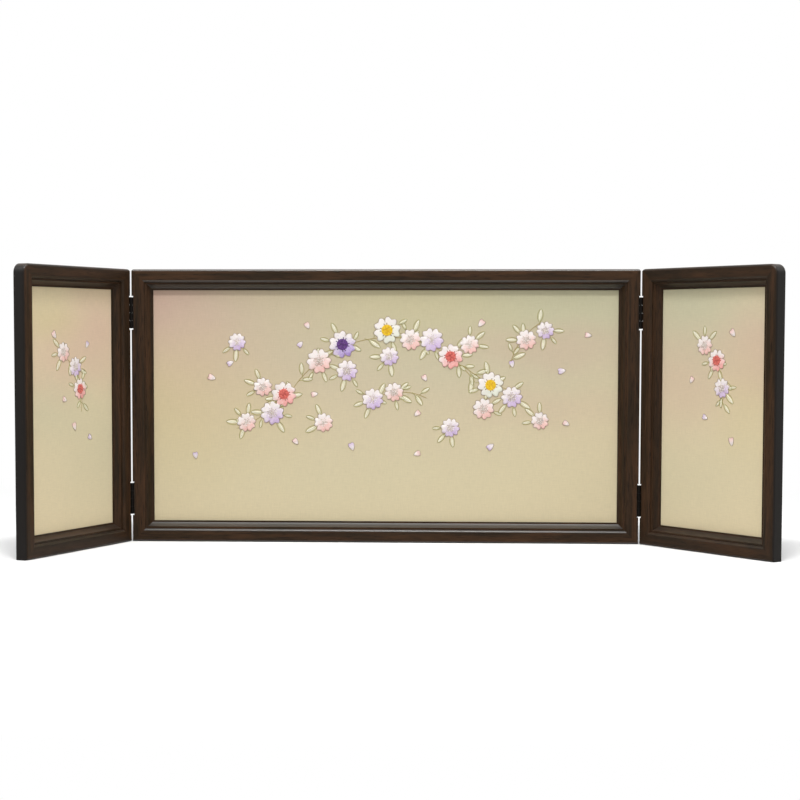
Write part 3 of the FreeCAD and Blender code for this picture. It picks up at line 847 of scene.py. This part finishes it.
# Rings of knots: radius as a share of the blossom's diameter, and number of knots. Then the tint in the
# middle, its change over the diameter outwards, the painted highlight that makes each knot paler at its
# top and darker at its foot, and the reach and turn of its scatter over the knots.
EYE_RINGS = ((0, 1), (0.06, 6), (0.12, 12), (0.175, 18))
LACE_RINGS = ((0, 1), (0.045, 5), (0.1, 8), (0.18, 11))
KNOT_TINT = 0.3
KNOT_TINT_OUTWARDS = 3
KNOT_PAINTED_TOP_LIGHT = 0.5
SCATTER_REACH = 0.4
SCATTER_TURN = 2.4

# Stamens: number, length as a share of the blossom's diameter, also of the rays round an eye, and that
# of every third one as a share of the others'. Then the places along one and its width at each, which
# swells to a knot, and how high it is and how high it lies, as shares of a pad's height.
STAMENS_EACH = 15
STAMEN_SHARE = 0.22
EYE_RAY_SHARE = 0.26
SHORT_STAMEN_SHARE = 0.7
STAMEN_RUN_SHARES = np.array([0.12, 0.15, 0.36, 0.58, 0.79, 1.0, 1.05])
STAMEN_WIDTH_SHARES = np.array([0, 0.6, 0.8, 0.8, 1.2, 1.8, 0])
STAMEN_HEIGHT_SHARE = 0.5
STAMEN_LIFT_SHARE = 1.2

# Leaves: width as a share of length, how much the lens is drawn in at its ends, the share of the width
# that the pad fills, its height as a share of a petal's, the lengths they take turns through, how far
# they slant, the reach of their middles from the bough in lengths, and how many times its blossom's
# turn a spray is turned.
LEAF_WIDTH_SHARE = 0.42
LEAF_TAPER = 0.4
LEAF_FILL_SHARE = 0.5
LEAF_HEIGHT_SHARE = 0.6
LEAF_SIZE_SHARES = (1.0, 0.8, 1.12, 0.7, 0.92)
LEAF_SLANT = math.radians(48)
LEAF_REACH_SHARE = 0.7
SPRAY_SLANTS = np.array([-1, 0, 1]) * LEAF_SLANT
SPRAY_TURNS = 5

# A leaf's vein and stalk, in lengths of the leaf: where the stalk starts, how long the two are, and how
# far the stalk is bent aside.
VEIN_START = -0.95
VEIN_LENGTH = 1.35
VEIN_BEND = 0.1

# Threads: width as a share of the cord's width, height as a share of a pad's height, and how soon a
# thread that isn't a ring has its full width past its ends.
PETAL_THREAD_WIDTH = 0.65
PETAL_THREAD_HEIGHT = 0.9
LEAF_THREAD_WIDTH = 0.9
LEAF_THREAD_HEIGHT = 0.7
LEAF_THREAD_RISE = 4
BOUGH_THREAD_WIDTH = 1.2
BOUGH_THREAD_HEIGHT = 0.6
BOUGH_THREAD_RISE = 8


def petal_outline(angle, width_share, spread_share, notch_share):
    """A petal's outline in lengths of the petal, its foot down: an oval that is wider towards its tip
    by the spread, with a small notch in the tip."""
    x = 0.5 * width_share * np.sin(angle) * (1 + spread_share * np.cos(angle))
    y = 0.5 * np.cos(angle) - notch_share * np.exp(-(angle / NOTCH_ANGLE) ** 2)
    return x, y


def leaf_outline(angle, width_share):
    """A leaf's outline in lengths of the leaf: half its width times the sine to one more than the
    taper, by half the cosine, which is a lens with a point at each end."""
    x = 0.5 * width_share * np.sin(angle) * np.abs(np.sin(angle)) ** LEAF_TAPER
    return x, 0.5 * np.cos(angle)


def pads(panel, outline, sides, spots, crown, lift, tint_of):
    """Stitched pads as grids of rings about each pad's centre. A spot is across, up, length and turn. A
    ring is the outline drawn in towards the centre and raised to a round shoulder, by the crown times
    the square root of one less the ring's share to the fourth. The last rings close the pad
    underneath."""
    angle = np.linspace(-math.pi, math.pi, sides + 1)[:-1]
    x, y = outline(angle)
    rise = np.sqrt(1 - RINGS_ON_TOP ** 4)
    rings = np.concatenate([RINGS_ON_TOP, RINGS_UNDERNEATH])
    height = np.concatenate([rise, np.zeros(len(RINGS_UNDERNEATH))]) * crown
    length = spots[:, 2, None, None]
    along_x = rings[:, None] * x * length
    along_y = rings[:, None] * y * length
    cos = np.cos(spots[:, 3])[:, None, None]
    sin = np.sin(spots[:, 3])[:, None, None]
    across = spots[:, 0, None, None] + along_x * cos - along_y * sin
    up = spots[:, 1, None, None] + along_x * sin + along_y * cos
    out = np.broadcast_to(height[None, :, None] + lift[:, None, None], across.shape)
    uv = np.stack([along_x + length, along_y + spots[:, 1, None, None]], axis=-1)
    return panel.place(across, up, out), uv, tint_of(across, up, along_y / length)


def couched(panel, path, widths, height):
    """A thread laid on the cloth: half an ellipse carried along each path, flat underneath, as wide and
    as high as the thread is at each point. A ring takes its heading where it closes from the points on
    both sides, and any other path has no width at its ends, so that each thread is closed."""
    angle = np.linspace(0, math.pi, THREAD_SIDES)
    tangent = np.gradient(path, axis=1)
    ring = np.linalg.norm(path[:, 0] - path[:, -1], axis=-1) < TINY
    tangent[ring, 0] = tangent[ring, -1] = path[ring, 1] - path[ring, -2]
    tangent /= np.maximum(np.linalg.norm(tangent, axis=-1, keepdims=True), TINY)
    side = np.stack([-tangent[..., 1], tangent[..., 0]], axis=-1)
    reach = widths[..., None] / 2 * np.cos(angle)
    out = widths[..., None] / widths.max() * height * np.sin(angle)
    spot = path[:, :, None] + side[:, :, None] * reach[..., None]
    points = panel.place(spot[..., 0], spot[..., 1], out)
    run = np.cumsum(np.linalg.norm(np.diff(path, axis=1, prepend=path[:, :1]), axis=-1), axis=1)
    twist = run[..., None] + angle * widths[..., None] / 2
    uv = np.stack(np.broadcast_arrays(twist, run[..., None]), axis=-1)
    return points, uv, np.zeros(points.shape[:3])


def sew(panel, name, parts, material):
    """One piece of embroidery from several stacks of grids of one shape."""
    points, uv, tint = (np.concatenate([part[i] for part in parts]) for i in range(3))
    made = mesh_from_grids(panel.name + "_" + name, points, uv, tint, closed=True)
    dress(made, material, panel.body)


def spots_of(panel, places):
    """Across, up, length and turn in metres and radians, from shares of the panel's cloth and
    degrees."""
    listed = np.array([place[:4] for place in places], dtype=float)
    height = panel.high - panel.low
    return np.column_stack([listed[:, 0] * panel.half_width, panel.low + listed[:, 1] * height,
                            listed[:, 2] * height, np.radians(listed[:, 3])])


def headings(turns):
    """Unit steps on the cloth for turns measured from upright."""
    return np.stack([-np.sin(turns), np.cos(turns)], axis=-1)


def petal_spots(panel, places):
    """For each of the five petals round each blossom's middle, the blossom's place and the petal's own, both
    as across, up, length and turn."""
    home = np.repeat(spots_of(panel, places), PETALS_EACH, axis=0)
    turns = home[:, 3] + np.tile(np.arange(PETALS_EACH), len(places)) * math.tau / PETALS_EACH
    centres = home[:, :2] + headings(turns) * home[:, 2, None] * PETAL_REACH_SHARE
    return home, np.column_stack([centres, home[:, 2] * PETAL_LENGTH_SHARE, turns])


def blossom_pads(panel, places, crown):
    """The petals of open blossoms. The floss runs from pale above and left to deep below and right.
    Every second petal lies a step higher, and so do blossoms in turn, by up to two steps."""
    home, spots = petal_spots(panel, places)
    number = np.arange(len(spots))
    lift = (number // PETALS_EACH % 3 + number % PETALS_EACH % 2) * crown * LIFT_SHARE

    def tint_of(across, up, along):
        rightwards = (across - home[:, 0, None, None]) / home[:, 2, None, None]
        upwards = (up - home[:, 1, None, None]) / home[:, 2, None, None]
        change = TINT_RIGHTWARDS * rightwards + TINT_UPWARDS * upwards + TINT_OUTWARDS * along
        return np.clip(BLOSSOM_TINT + change, 0, 1)

    return pads(panel, lambda angle: petal_outline(angle, *PETAL_SHARES), PETAL_SIDES, spots, crown,
                lift, tint_of)


def loose_petals(panel, places, crown):
    """Single fallen petals and buds, paler at the foot."""
    spots = spots_of(panel, places)
    return pads(panel, lambda angle: petal_outline(angle, *BUD_SHARES), PETAL_SIDES, spots, crown,
                np.zeros(len(spots)), lambda across, up, along: np.clip(MIDDLE_TINT + along, 0, 1))


def turned(shapes, spots):
    """Paths in lengths of their motif, laid at each spot with its length and turn."""
    cos = np.cos(spots[:, 3])
    sin = np.sin(spots[:, 3])
    turn = np.stack([np.stack([cos, -sin], axis=-1), np.stack([sin, cos], axis=-1)], axis=-2)
    steps = np.einsum("nij,skj->nski", turn, shapes) * spots[:, 2, None, None, None]
    return (spots[:, None, None, :2] + steps).reshape(-1, shapes.shape[1], 2)


def petal_threads(panel, blossoms, loose, width, crown):
    """A fine thread round each petal and bud."""
    angle = np.linspace(-math.pi, math.pi, PETAL_SIDES + 1)
    petal = np.stack(petal_outline(angle, *PETAL_SHARES), axis=1) * OUTLINE_SHARE
    bud = np.stack(petal_outline(angle, *BUD_SHARES), axis=1) * OUTLINE_SHARE
    path = np.concatenate([turned(petal[None], petal_spots(panel, blossoms)[1]),
                           turned(bud[None], spots_of(panel, loose))])
    widths = np.full(path.shape[:2], width * PETAL_THREAD_WIDTH)
    return couched(panel, path, widths, crown * PETAL_THREAD_HEIGHT)


def eye_knots(panel, places, rings, crown, knot):
    """Rings of round knots about each blossom's middle, darker towards it, with a scatter of paler
    ones. Each ring is turned by its own share, so that the knots don't line up. Each knot is painted
    paler at its top and darker at its foot, as painted highlight and shade."""
    spots = spots_of(panel, places)
    centres = []
    for share, count in rings:
        turns = spots[:, 3, None] + share + np.arange(count) * math.tau / count
        reach = headings(turns) * share * spots[:, 2, None, None]
        centres.append((spots[:, None, :2] + reach).reshape(-1, 2))
    centres = np.concatenate(centres)
    number = len(centres)
    knots = np.column_stack([centres, np.full(number, knot), np.zeros(number)])
    ring = np.concatenate([np.full(len(spots) * count, share) for share, count in rings])
    scatter = SCATTER_REACH * np.sin(SCATTER_TURN * np.arange(number))
    knot_tint = KNOT_TINT + KNOT_TINT_OUTWARDS * ring + scatter

    def tint_of(across, up, along):
        # Painted highlight and shade: each knot is paler at its top than at its foot.
        return np.clip(knot_tint[:, None, None] + KNOT_PAINTED_TOP_LIGHT * along, 0, 1)

    return pads(panel, lambda angle: petal_outline(angle, *KNOT_SHARES), KNOT_SIDES, knots, crown,
                np.full(number, crown), tint_of)


def stamens(panel, places, crown, width, share):
    """Fine threads from each blossom's middle, every third one shorter, each ending in a small knot."""
    spots = spots_of(panel, places)
    which = np.arange(STAMENS_EACH)
    turns = spots[:, 3, None] + which * math.tau / STAMENS_EACH
    reach = spots[:, 2, None] * share * np.where(which % 3, 1, SHORT_STAMEN_SHARE)
    step = (headings(turns) * reach[..., None])[:, :, None] * STAMEN_RUN_SHARES[:, None]
    path = (spots[:, None, None, :2] + step).reshape(-1, len(STAMEN_RUN_SHARES), 2)
    widths = np.broadcast_to(width * STAMEN_WIDTH_SHARES, path.shape[:2])
    points, uv, tint = couched(panel, path, widths, crown * STAMEN_HEIGHT_SHARE)
    return points + panel.front * crown * STAMEN_LIFT_SHARE, uv, tint


def leaf_spots(panel, blossoms, boughs, silk):
    """Where the leaves go: a spray of three past the rim of each blossom, and pairs slanting off along
    each bough. Their lengths take turns through a few sizes."""
    spots = spots_of(panel, blossoms)
    turns = spots[:, 3, None] * SPRAY_TURNS + SPRAY_SLANTS
    centres = spots[:, None, :2] + headings(turns) * (spots[:, 2, None, None] / 2 + silk.leaf_gap)
    found = [np.column_stack([centres.reshape(-1, 2), turns.ravel()])]
    for path in bough_paths(panel, boughs):
        run = np.cumsum(np.linalg.norm(np.diff(path, axis=0, prepend=path[:1]), axis=1))
        at = np.arange(silk.leaf_spacing / 2, run[-1], silk.leaf_spacing)
        at = np.sort(np.concatenate([at, at + silk.leaf_gap]))
        spot = np.stack([np.interp(at, run, path[:, 0]), np.interp(at, run, path[:, 1])], axis=1)
        way = np.gradient(spot, axis=0)
        heading = np.arctan2(-way[:, 0], way[:, 1])
        turn = heading + LEAF_SLANT * np.where(np.arange(len(at)) % 2, 1, -1)
        centres = spot + headings(turn) * silk.leaf_length * LEAF_REACH_SHARE
        found.append(np.column_stack([centres, turn]))
    found = np.concatenate(found)
    sizes = np.resize(LEAF_SIZE_SHARES, len(found)) * silk.leaf_length
    return np.column_stack([found[:, :2], sizes, found[:, 2]])


def leaf_pads(panel, spots, crown):
    """Leaf blades, greener at the foot."""
    return pads(panel, lambda angle: leaf_outline(angle, LEAF_WIDTH_SHARE * LEAF_FILL_SHARE), LEAF_SIDES,
                spots, crown * LEAF_HEIGHT_SHARE, np.zeros(len(spots)),
                lambda across, up, along: np.clip(MIDDLE_TINT - along, 0, 1))


def leaf_threads(panel, spots, width, crown):
    """The edge of each leaf as one thread, and its vein and stalk as another: a straight run, with a
    bend that fades with the cube of the distance from the tip."""
    share = np.linspace(0, 1, LEAF_STEPS)
    edge = np.stack(leaf_outline((share * 2 - 1) * math.pi, LEAF_WIDTH_SHARE), axis=1)
    vein = np.stack([VEIN_BEND * (1 - share) ** 3, VEIN_START + share * VEIN_LENGTH], axis=1)
    path = turned(np.stack([edge, vein]), spots)
    ends = np.minimum(1, np.sin(share * math.pi) * LEAF_THREAD_RISE)
    widths = np.broadcast_to(width * LEAF_THREAD_WIDTH * ends, path.shape[:2])
    return couched(panel, path, widths, crown * LEAF_THREAD_HEIGHT)


def bough_paths(panel, boughs):
    """Points along each bough's arc."""
    arcs = spots_of(panel, boughs)
    last = np.radians([bough[4] for bough in boughs])
    angle = arcs[:, 3, None] + (last - arcs[:, 3])[:, None] * np.linspace(0, 1, BOUGH_STEPS)
    ring = np.stack([np.cos(angle), np.sin(angle)], axis=-1)
    return arcs[:, None, :2] + arcs[:, 2, None, None] * ring


def bough_threads(panel, boughs, width, crown):
    """Long arcs of couched thread, each tapering at its ends."""
    path = bough_paths(panel, boughs)
    share = np.linspace(0, 1, BOUGH_STEPS)
    ends = np.minimum(1, np.sin(share * math.pi) * BOUGH_THREAD_RISE)
    widths = np.broadcast_to(width * BOUGH_THREAD_WIDTH * ends, path.shape[:2])
    return couched(panel, path, widths, crown * BOUGH_THREAD_HEIGHT)


# The lamps: degrees to the right of the front, degrees above the horizon and metres from the object,
# then the width and height of the lamp in metres.
LAMPS = {
    "key": (0, 60.5, 2.3, 0.5, 0.1),
    "overhead": (0, 78, 1.9, 2.4, 1.0),
    "front": (0, 28, 2.2, 1.8, 0.7),
    "left": (-70, 25, 1.9, 1.0, 1.3),
    "right": (70, 25, 1.9, 1.0, 1.3),
}

# The sensor's width in millimetres, which the focal length goes with.
SENSOR_WIDTH = 36


# Operators

class SCREEN_OT_finish_frames(bpy.types.Operator):
    """Stain the rails and stiles, the grain along each bar"""

    bl_idname = "screen.finish_frames"
    bl_label = "Finish frames"

    def execute(self, context):
        finish = context.scene.screen_frame
        for panel in PANELS:
            rail_wood = stained_wood(
                panel.name + "_rail_wood", finish, panel, upright=False, shade_free_edge=True)
            stile_wood = stained_wood(
                panel.name + "_stile_wood", finish, panel, upright=True, shade_free_edge=False)
            edge_wood = stained_wood(
                panel.name + "_outer_stile_wood", finish, panel, upright=True, shade_free_edge=True)
            for node in frame["nodes"]:
                if node.startswith(panel.name) and node.endswith("_rail"):
                    repaint(node, rail_wood)
                if node.startswith(panel.name) and node.endswith("_stile"):
                    repaint(node, edge_wood if node.endswith("outer_stile") else stile_wood)
        return {"FINISHED"}


class SCREEN_OT_finish_hardware(bpy.types.Operator):
    """Finish the hinges, screws and tabs, and the boards and splines inside"""

    bl_idname = "screen.finish_hardware"
    bl_label = "Finish hardware"

    def execute(self, context):
        hardware = context.scene.screen_hardware
        black = sheet_steel("blackened_steel", tuple(hardware.black), hardware,
                            metallic=0, specular=hardware.specular_share, roughness=0.5)
        bright = sheet_steel("bare_sheet_steel", tuple(hardware.steel), hardware,
                             metallic=1, specular=0.5, roughness=0.35)
        materials = {
            "_leaf": black, "_pin": black, "_screws": black, "_tabs": bright,
            "backing_board": pressed_fibre("backing_card", tuple(hardware.card), hardware),
            "core_board": pressed_fibre("hardboard", tuple(hardware.board), hardware),
            "_splines": pressed_fibre("beech_splines", tuple(hardware.beech), hardware),
        }
        for node in frame["nodes"]:
            for ending, material in materials.items():
                if node.endswith(ending):
                    repaint(node, material)
        return {"FINISHED"}


class SCREEN_OT_stretch_cloth(bpy.types.Operator):
    """Stretch the dyed cloth over the boards"""

    bl_idname = "screen.stretch_cloth"
    bl_label = "Stretch cloth"

    def execute(self, context):
        cloth = context.scene.screen_cloth
        for panel in PANELS:
            made, flat = stretched_cloth(panel, cloth)
            dress(made, dyed_cloth(panel.name + "_dyed_silk", cloth, panel), panel.body)
            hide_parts(panel.name + "_fabric_cover")
        return {"FINISHED"}


class SCREEN_OT_embroider(bpy.types.Operator):
    """Embroider blossoms, leaves, boughs and fallen petals on the cloth"""

    bl_idname = "screen.embroider"
    bl_label = "Embroider"

    def execute(self, context):
        silk = context.scene.screen_embroidery
        petals = {
            "blush": satin_stitch("blush_floss", silk.white, silk.blush, silk),
            "lilac": satin_stitch("lilac_floss", silk.white, silk.lilac, silk),
            "coral": satin_stitch("rose_floss", silk.white, silk.rose, silk),
            "yolk": satin_stitch("ivory_floss", silk.white, silk.ivory, silk),
            "plum": satin_stitch("violet_floss", silk.white, silk.violet, silk),
        }
        eyes = {
            "coral": satin_stitch("coral_eye_floss", silk.garnet, silk.coral, silk),
            "yolk": satin_stitch("yolk_eye_floss", silk.amber, silk.yolk, silk),
            "plum": satin_stitch("plum_eye_floss", silk.plum, silk.aubergine, silk),
        }
        rays = {
            "coral": satin_stitch("garnet_floss", silk.garnet, silk.garnet, silk),
            "yolk": satin_stitch("umber_floss", silk.umber, silk.umber, silk),
            "plum": satin_stitch("plum_floss", silk.plum, silk.plum, silk),
        }
        sand = satin_stitch("sand_floss", silk.sand, silk.sand, silk)
        knots_floss = satin_stitch("knot_floss", silk.sand, silk.white, silk)
        leaf = satin_stitch("leaf_floss", silk.cream, silk.sprout, silk)
        olive = satin_stitch("olive_floss", silk.olive, silk.olive, silk)
        taupe = satin_stitch("taupe_floss", silk.taupe, silk.taupe, silk)
        gold = satin_stitch("old_gold_cord", silk.old_gold, silk.old_gold, silk)
        for panel in PANELS:
            blossoms = BLOSSOM_SHARES[panel.name]
            boughs = BOUGH_SHARES[panel.name]
            fallen = PETAL_SPOT_SHARES[panel.name]
            for kind, floss in petals.items():
                open_ones = [place for place in blossoms if place[4] == kind]
                loose = [place for place in fallen if place[4] == kind]
                makers = ((blossom_pads, open_ones), (loose_petals, loose))
                parts = [make(panel, places, silk.crown) for make, places in makers if places]
                if parts:
                    sew(panel, kind + "_petals", parts, floss)
                if open_ones and kind in eyes:
                    knots = eye_knots(panel, open_ones, EYE_RINGS, silk.crown, silk.knot)
                    sew(panel, kind + "_eyes", [knots], eyes[kind])
                    threads = stamens(panel, open_ones, silk.crown, silk.cord_width, EYE_RAY_SHARE)
                    sew(panel, kind + "_rays", [threads], rays[kind])
            plain = [place for place in blossoms if place[4] not in eyes]
            centres = stamens(panel, plain, silk.crown, silk.cord_width, STAMEN_SHARE)
            sew(panel, "stamens", [centres], sand)
            lace = eye_knots(panel, plain, LACE_RINGS, silk.crown, silk.small_knot)
            sew(panel, "stamen_knots", [lace], knots_floss)
            outlines = petal_threads(panel, blossoms, fallen, silk.cord_width, silk.crown)
            sew(panel, "petal_outlines", [outlines], taupe)
            leaves = leaf_spots(panel, blossoms, boughs, silk)
            sew(panel, "leaves", [leaf_pads(panel, leaves, silk.crown)], leaf)
            veins = leaf_threads(panel, leaves, silk.cord_width, silk.crown)
            sew(panel, "leaf_threads", [veins], olive)
            arcs = bough_threads(panel, boughs, silk.cord_width, silk.crown)
            sew(panel, "boughs", [arcs], gold)
        return {"FINISHED"}


class SCREEN_OT_stage(bpy.types.Operator):
    """Set the floor, the lamps, the world and the camera"""

    bl_idname = "screen.stage"
    bl_label = "Set the stage"

    def execute(self, context):
        studio = context.scene.screen_studio
        scene = context.scene
        scene.view_settings.view_transform = "Standard"
        self.floor(studio)
        self.world(studio)
        self.lamps(studio)
        self.camera(studio)
        return {"FINISHED"}

    def seen(self, tree):
        """1 for rays that show the background: straight, mirrored or through glass."""
        path = add(tree, "ShaderNodeLightPath")
        shown = add(tree, "ShaderNodeMath", {
            0: path.outputs["Is Camera Ray"], 1: path.outputs["Is Glossy Ray"]}, operation="MAXIMUM")
        return add(tree, "ShaderNodeMath", {0: shown.outputs[0], 1: path.outputs["Is Transmission Ray"]},
                   operation="MAXIMUM").outputs[0]

    def floor(self, studio):
        """A plain pale floor, just under the feet, paler to the camera than to the object."""
        reach = studio.floor_reach
        square = ((-reach, -reach), (reach, -reach), (reach, reach), (-reach, reach))
        corners = [(x, y, -studio.floor_sink) for x, y in square]
        mesh = bpy.data.meshes.new("floor")
        mesh.from_pydata(corners, [], [(0, 1, 2, 3)])
        made = bpy.data.objects.new("floor", mesh)
        bpy.context.scene.collection.objects.link(made)
        material, tree, output = new_material("matt_white_floor")
        seen = self.seen(tree)
        colour = add(tree, "ShaderNodeMix", {
            "Factor": seen, "A": opaque(studio.floor_bounce), "B": opaque(studio.floor)}, data_type="RGBA")
        near = add(tree, "ShaderNodeBsdfDiffuse", {"Color": colour.outputs["Result"]})
        place = add(tree, "ShaderNodeTexCoord").outputs["Object"]
        distance = add(tree, "ShaderNodeVectorMath", {0: place}, operation="LENGTH")
        away = add(tree, "ShaderNodeMapRange", {
            "Value": distance.outputs["Value"],
            "From Min": studio.floor_near, "From Max": studio.floor_far}, interpolation_type="SMOOTHSTEP")
        white_share = add(tree, "ShaderNodeMath", {0: away.outputs[0], 1: seen}, operation="MULTIPLY")
        white = add(tree, "ShaderNodeEmission", {"Color": (1, 1, 1, 1), "Strength": 1.0})
        surface = add(tree, "ShaderNodeMixShader", {
            "Fac": white_share.outputs[0], 1: near.outputs[0], 2: white.outputs[0]})
        tree.links.new(surface.outputs[0], output.inputs["Surface"])
        mesh.materials.append(material)

    def world(self, studio):
        """White where it is seen, and a weaker fill on the object."""
        world = bpy.data.worlds.new("studio")
        world.use_nodes = True
        tree = world.node_tree
        tree.nodes.clear()
        strength = add(tree, "ShaderNodeMix", {"Factor": self.seen(tree), "A": studio.fill, "B": 1.0})
        light = add(tree, "ShaderNodeBackground", {
            "Color": (1, 1, 1, 1), "Strength": strength.outputs["Result"]})
        output = add(tree, "ShaderNodeOutputWorld")
        tree.links.new(light.outputs[0], output.inputs["Surface"])
        bpy.context.scene.world = world

    def lamps(self, studio):
        """A narrow key high in front, a long softbox overhead, a weak one in front and one at each
        side, all turned to the middle of the object."""
        middle = np.array([0.0, 0.0, (cad_low[2] + cad_high[2]) / 2])
        for name, (azimuth, elevation, distance, width, height) in LAMPS.items():
            turn = math.radians(azimuth)
            rise = math.radians(elevation)
            level = math.cos(rise)
            way = np.array([math.sin(turn) * level, -math.cos(turn) * level, math.sin(rise)])
            lamp = bpy.data.lights.new(name, "AREA")
            lamp.shape = "RECTANGLE"
            lamp.size = width
            lamp.size_y = height
            lamp.energy = getattr(studio, name + "_power")
            made = bpy.data.objects.new(name, lamp)
            made.location = middle + distance * way
            made.rotation_euler = (math.pi / 2 - rise, 0, turn)
            bpy.context.scene.collection.objects.link(made)

    def camera(self, studio):
        """The photograph's view."""
        lens = bpy.data.cameras.new("camera")
        lens.sensor_width = SENSOR_WIDTH
        lens.lens = studio.focal_length
        lens.shift_x, lens.shift_y = studio.shift
        made = bpy.data.objects.new("camera", lens)
        made.location = studio.camera_place
        made.rotation_euler = (math.pi / 2 + studio.camera_pitch, studio.camera_roll, studio.camera_yaw)
        bpy.context.scene.collection.objects.link(made)
        bpy.context.scene.camera = made


class SCREEN_PT_tools(bpy.types.Panel):
    """The folding screen's steps, in order"""

    bl_label = "Folding Screen"
    bl_idname = "SCREEN_PT_tools"
    bl_space_type = "VIEW_3D"
    bl_region_type = "UI"
    bl_category = "Folding Screen"

    def draw(self, context):
        for operator in OPERATORS:
            self.layout.operator(operator.bl_idname)


OPERATORS = (
    SCREEN_OT_stage,
    SCREEN_OT_finish_frames,
    SCREEN_OT_finish_hardware,
    SCREEN_OT_stretch_cloth,
    SCREEN_OT_embroider,
)

SETTINGS = {
    "screen_frame": FrameFinish,
    "screen_cloth": ClothSettings,
    "screen_embroidery": EmbroiderySettings,
    "screen_hardware": HardwareFinish,
    "screen_studio": StudioSettings,
}


def register():
    """The settings first, since the scene points to them, and then the operators and the panel."""
    for group in SETTINGS.values():
        bpy.utils.register_class(group)
    for name, group in SETTINGS.items():
        setattr(bpy.types.Scene, name, bpy.props.PointerProperty(type=group))
    for made in OPERATORS + (SCREEN_PT_tools,):
        bpy.utils.register_class(made)


def unregister():
    """The same in reverse."""
    for made in reversed(OPERATORS + (SCREEN_PT_tools,)):
        bpy.utils.unregister_class(made)
    for name in SETTINGS:
        delattr(bpy.types.Scene, name)
    for group in reversed(SETTINGS.values()):
        bpy.utils.unregister_class(group)


def main():
    """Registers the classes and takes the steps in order."""
    register()
    bpy.ops.screen.stage()
    bpy.ops.screen.finish_frames()
    bpy.ops.screen.finish_hardware()
    bpy.ops.screen.stretch_cloth()
    bpy.ops.screen.embroider()


if __name__ == "__main__":
    main()
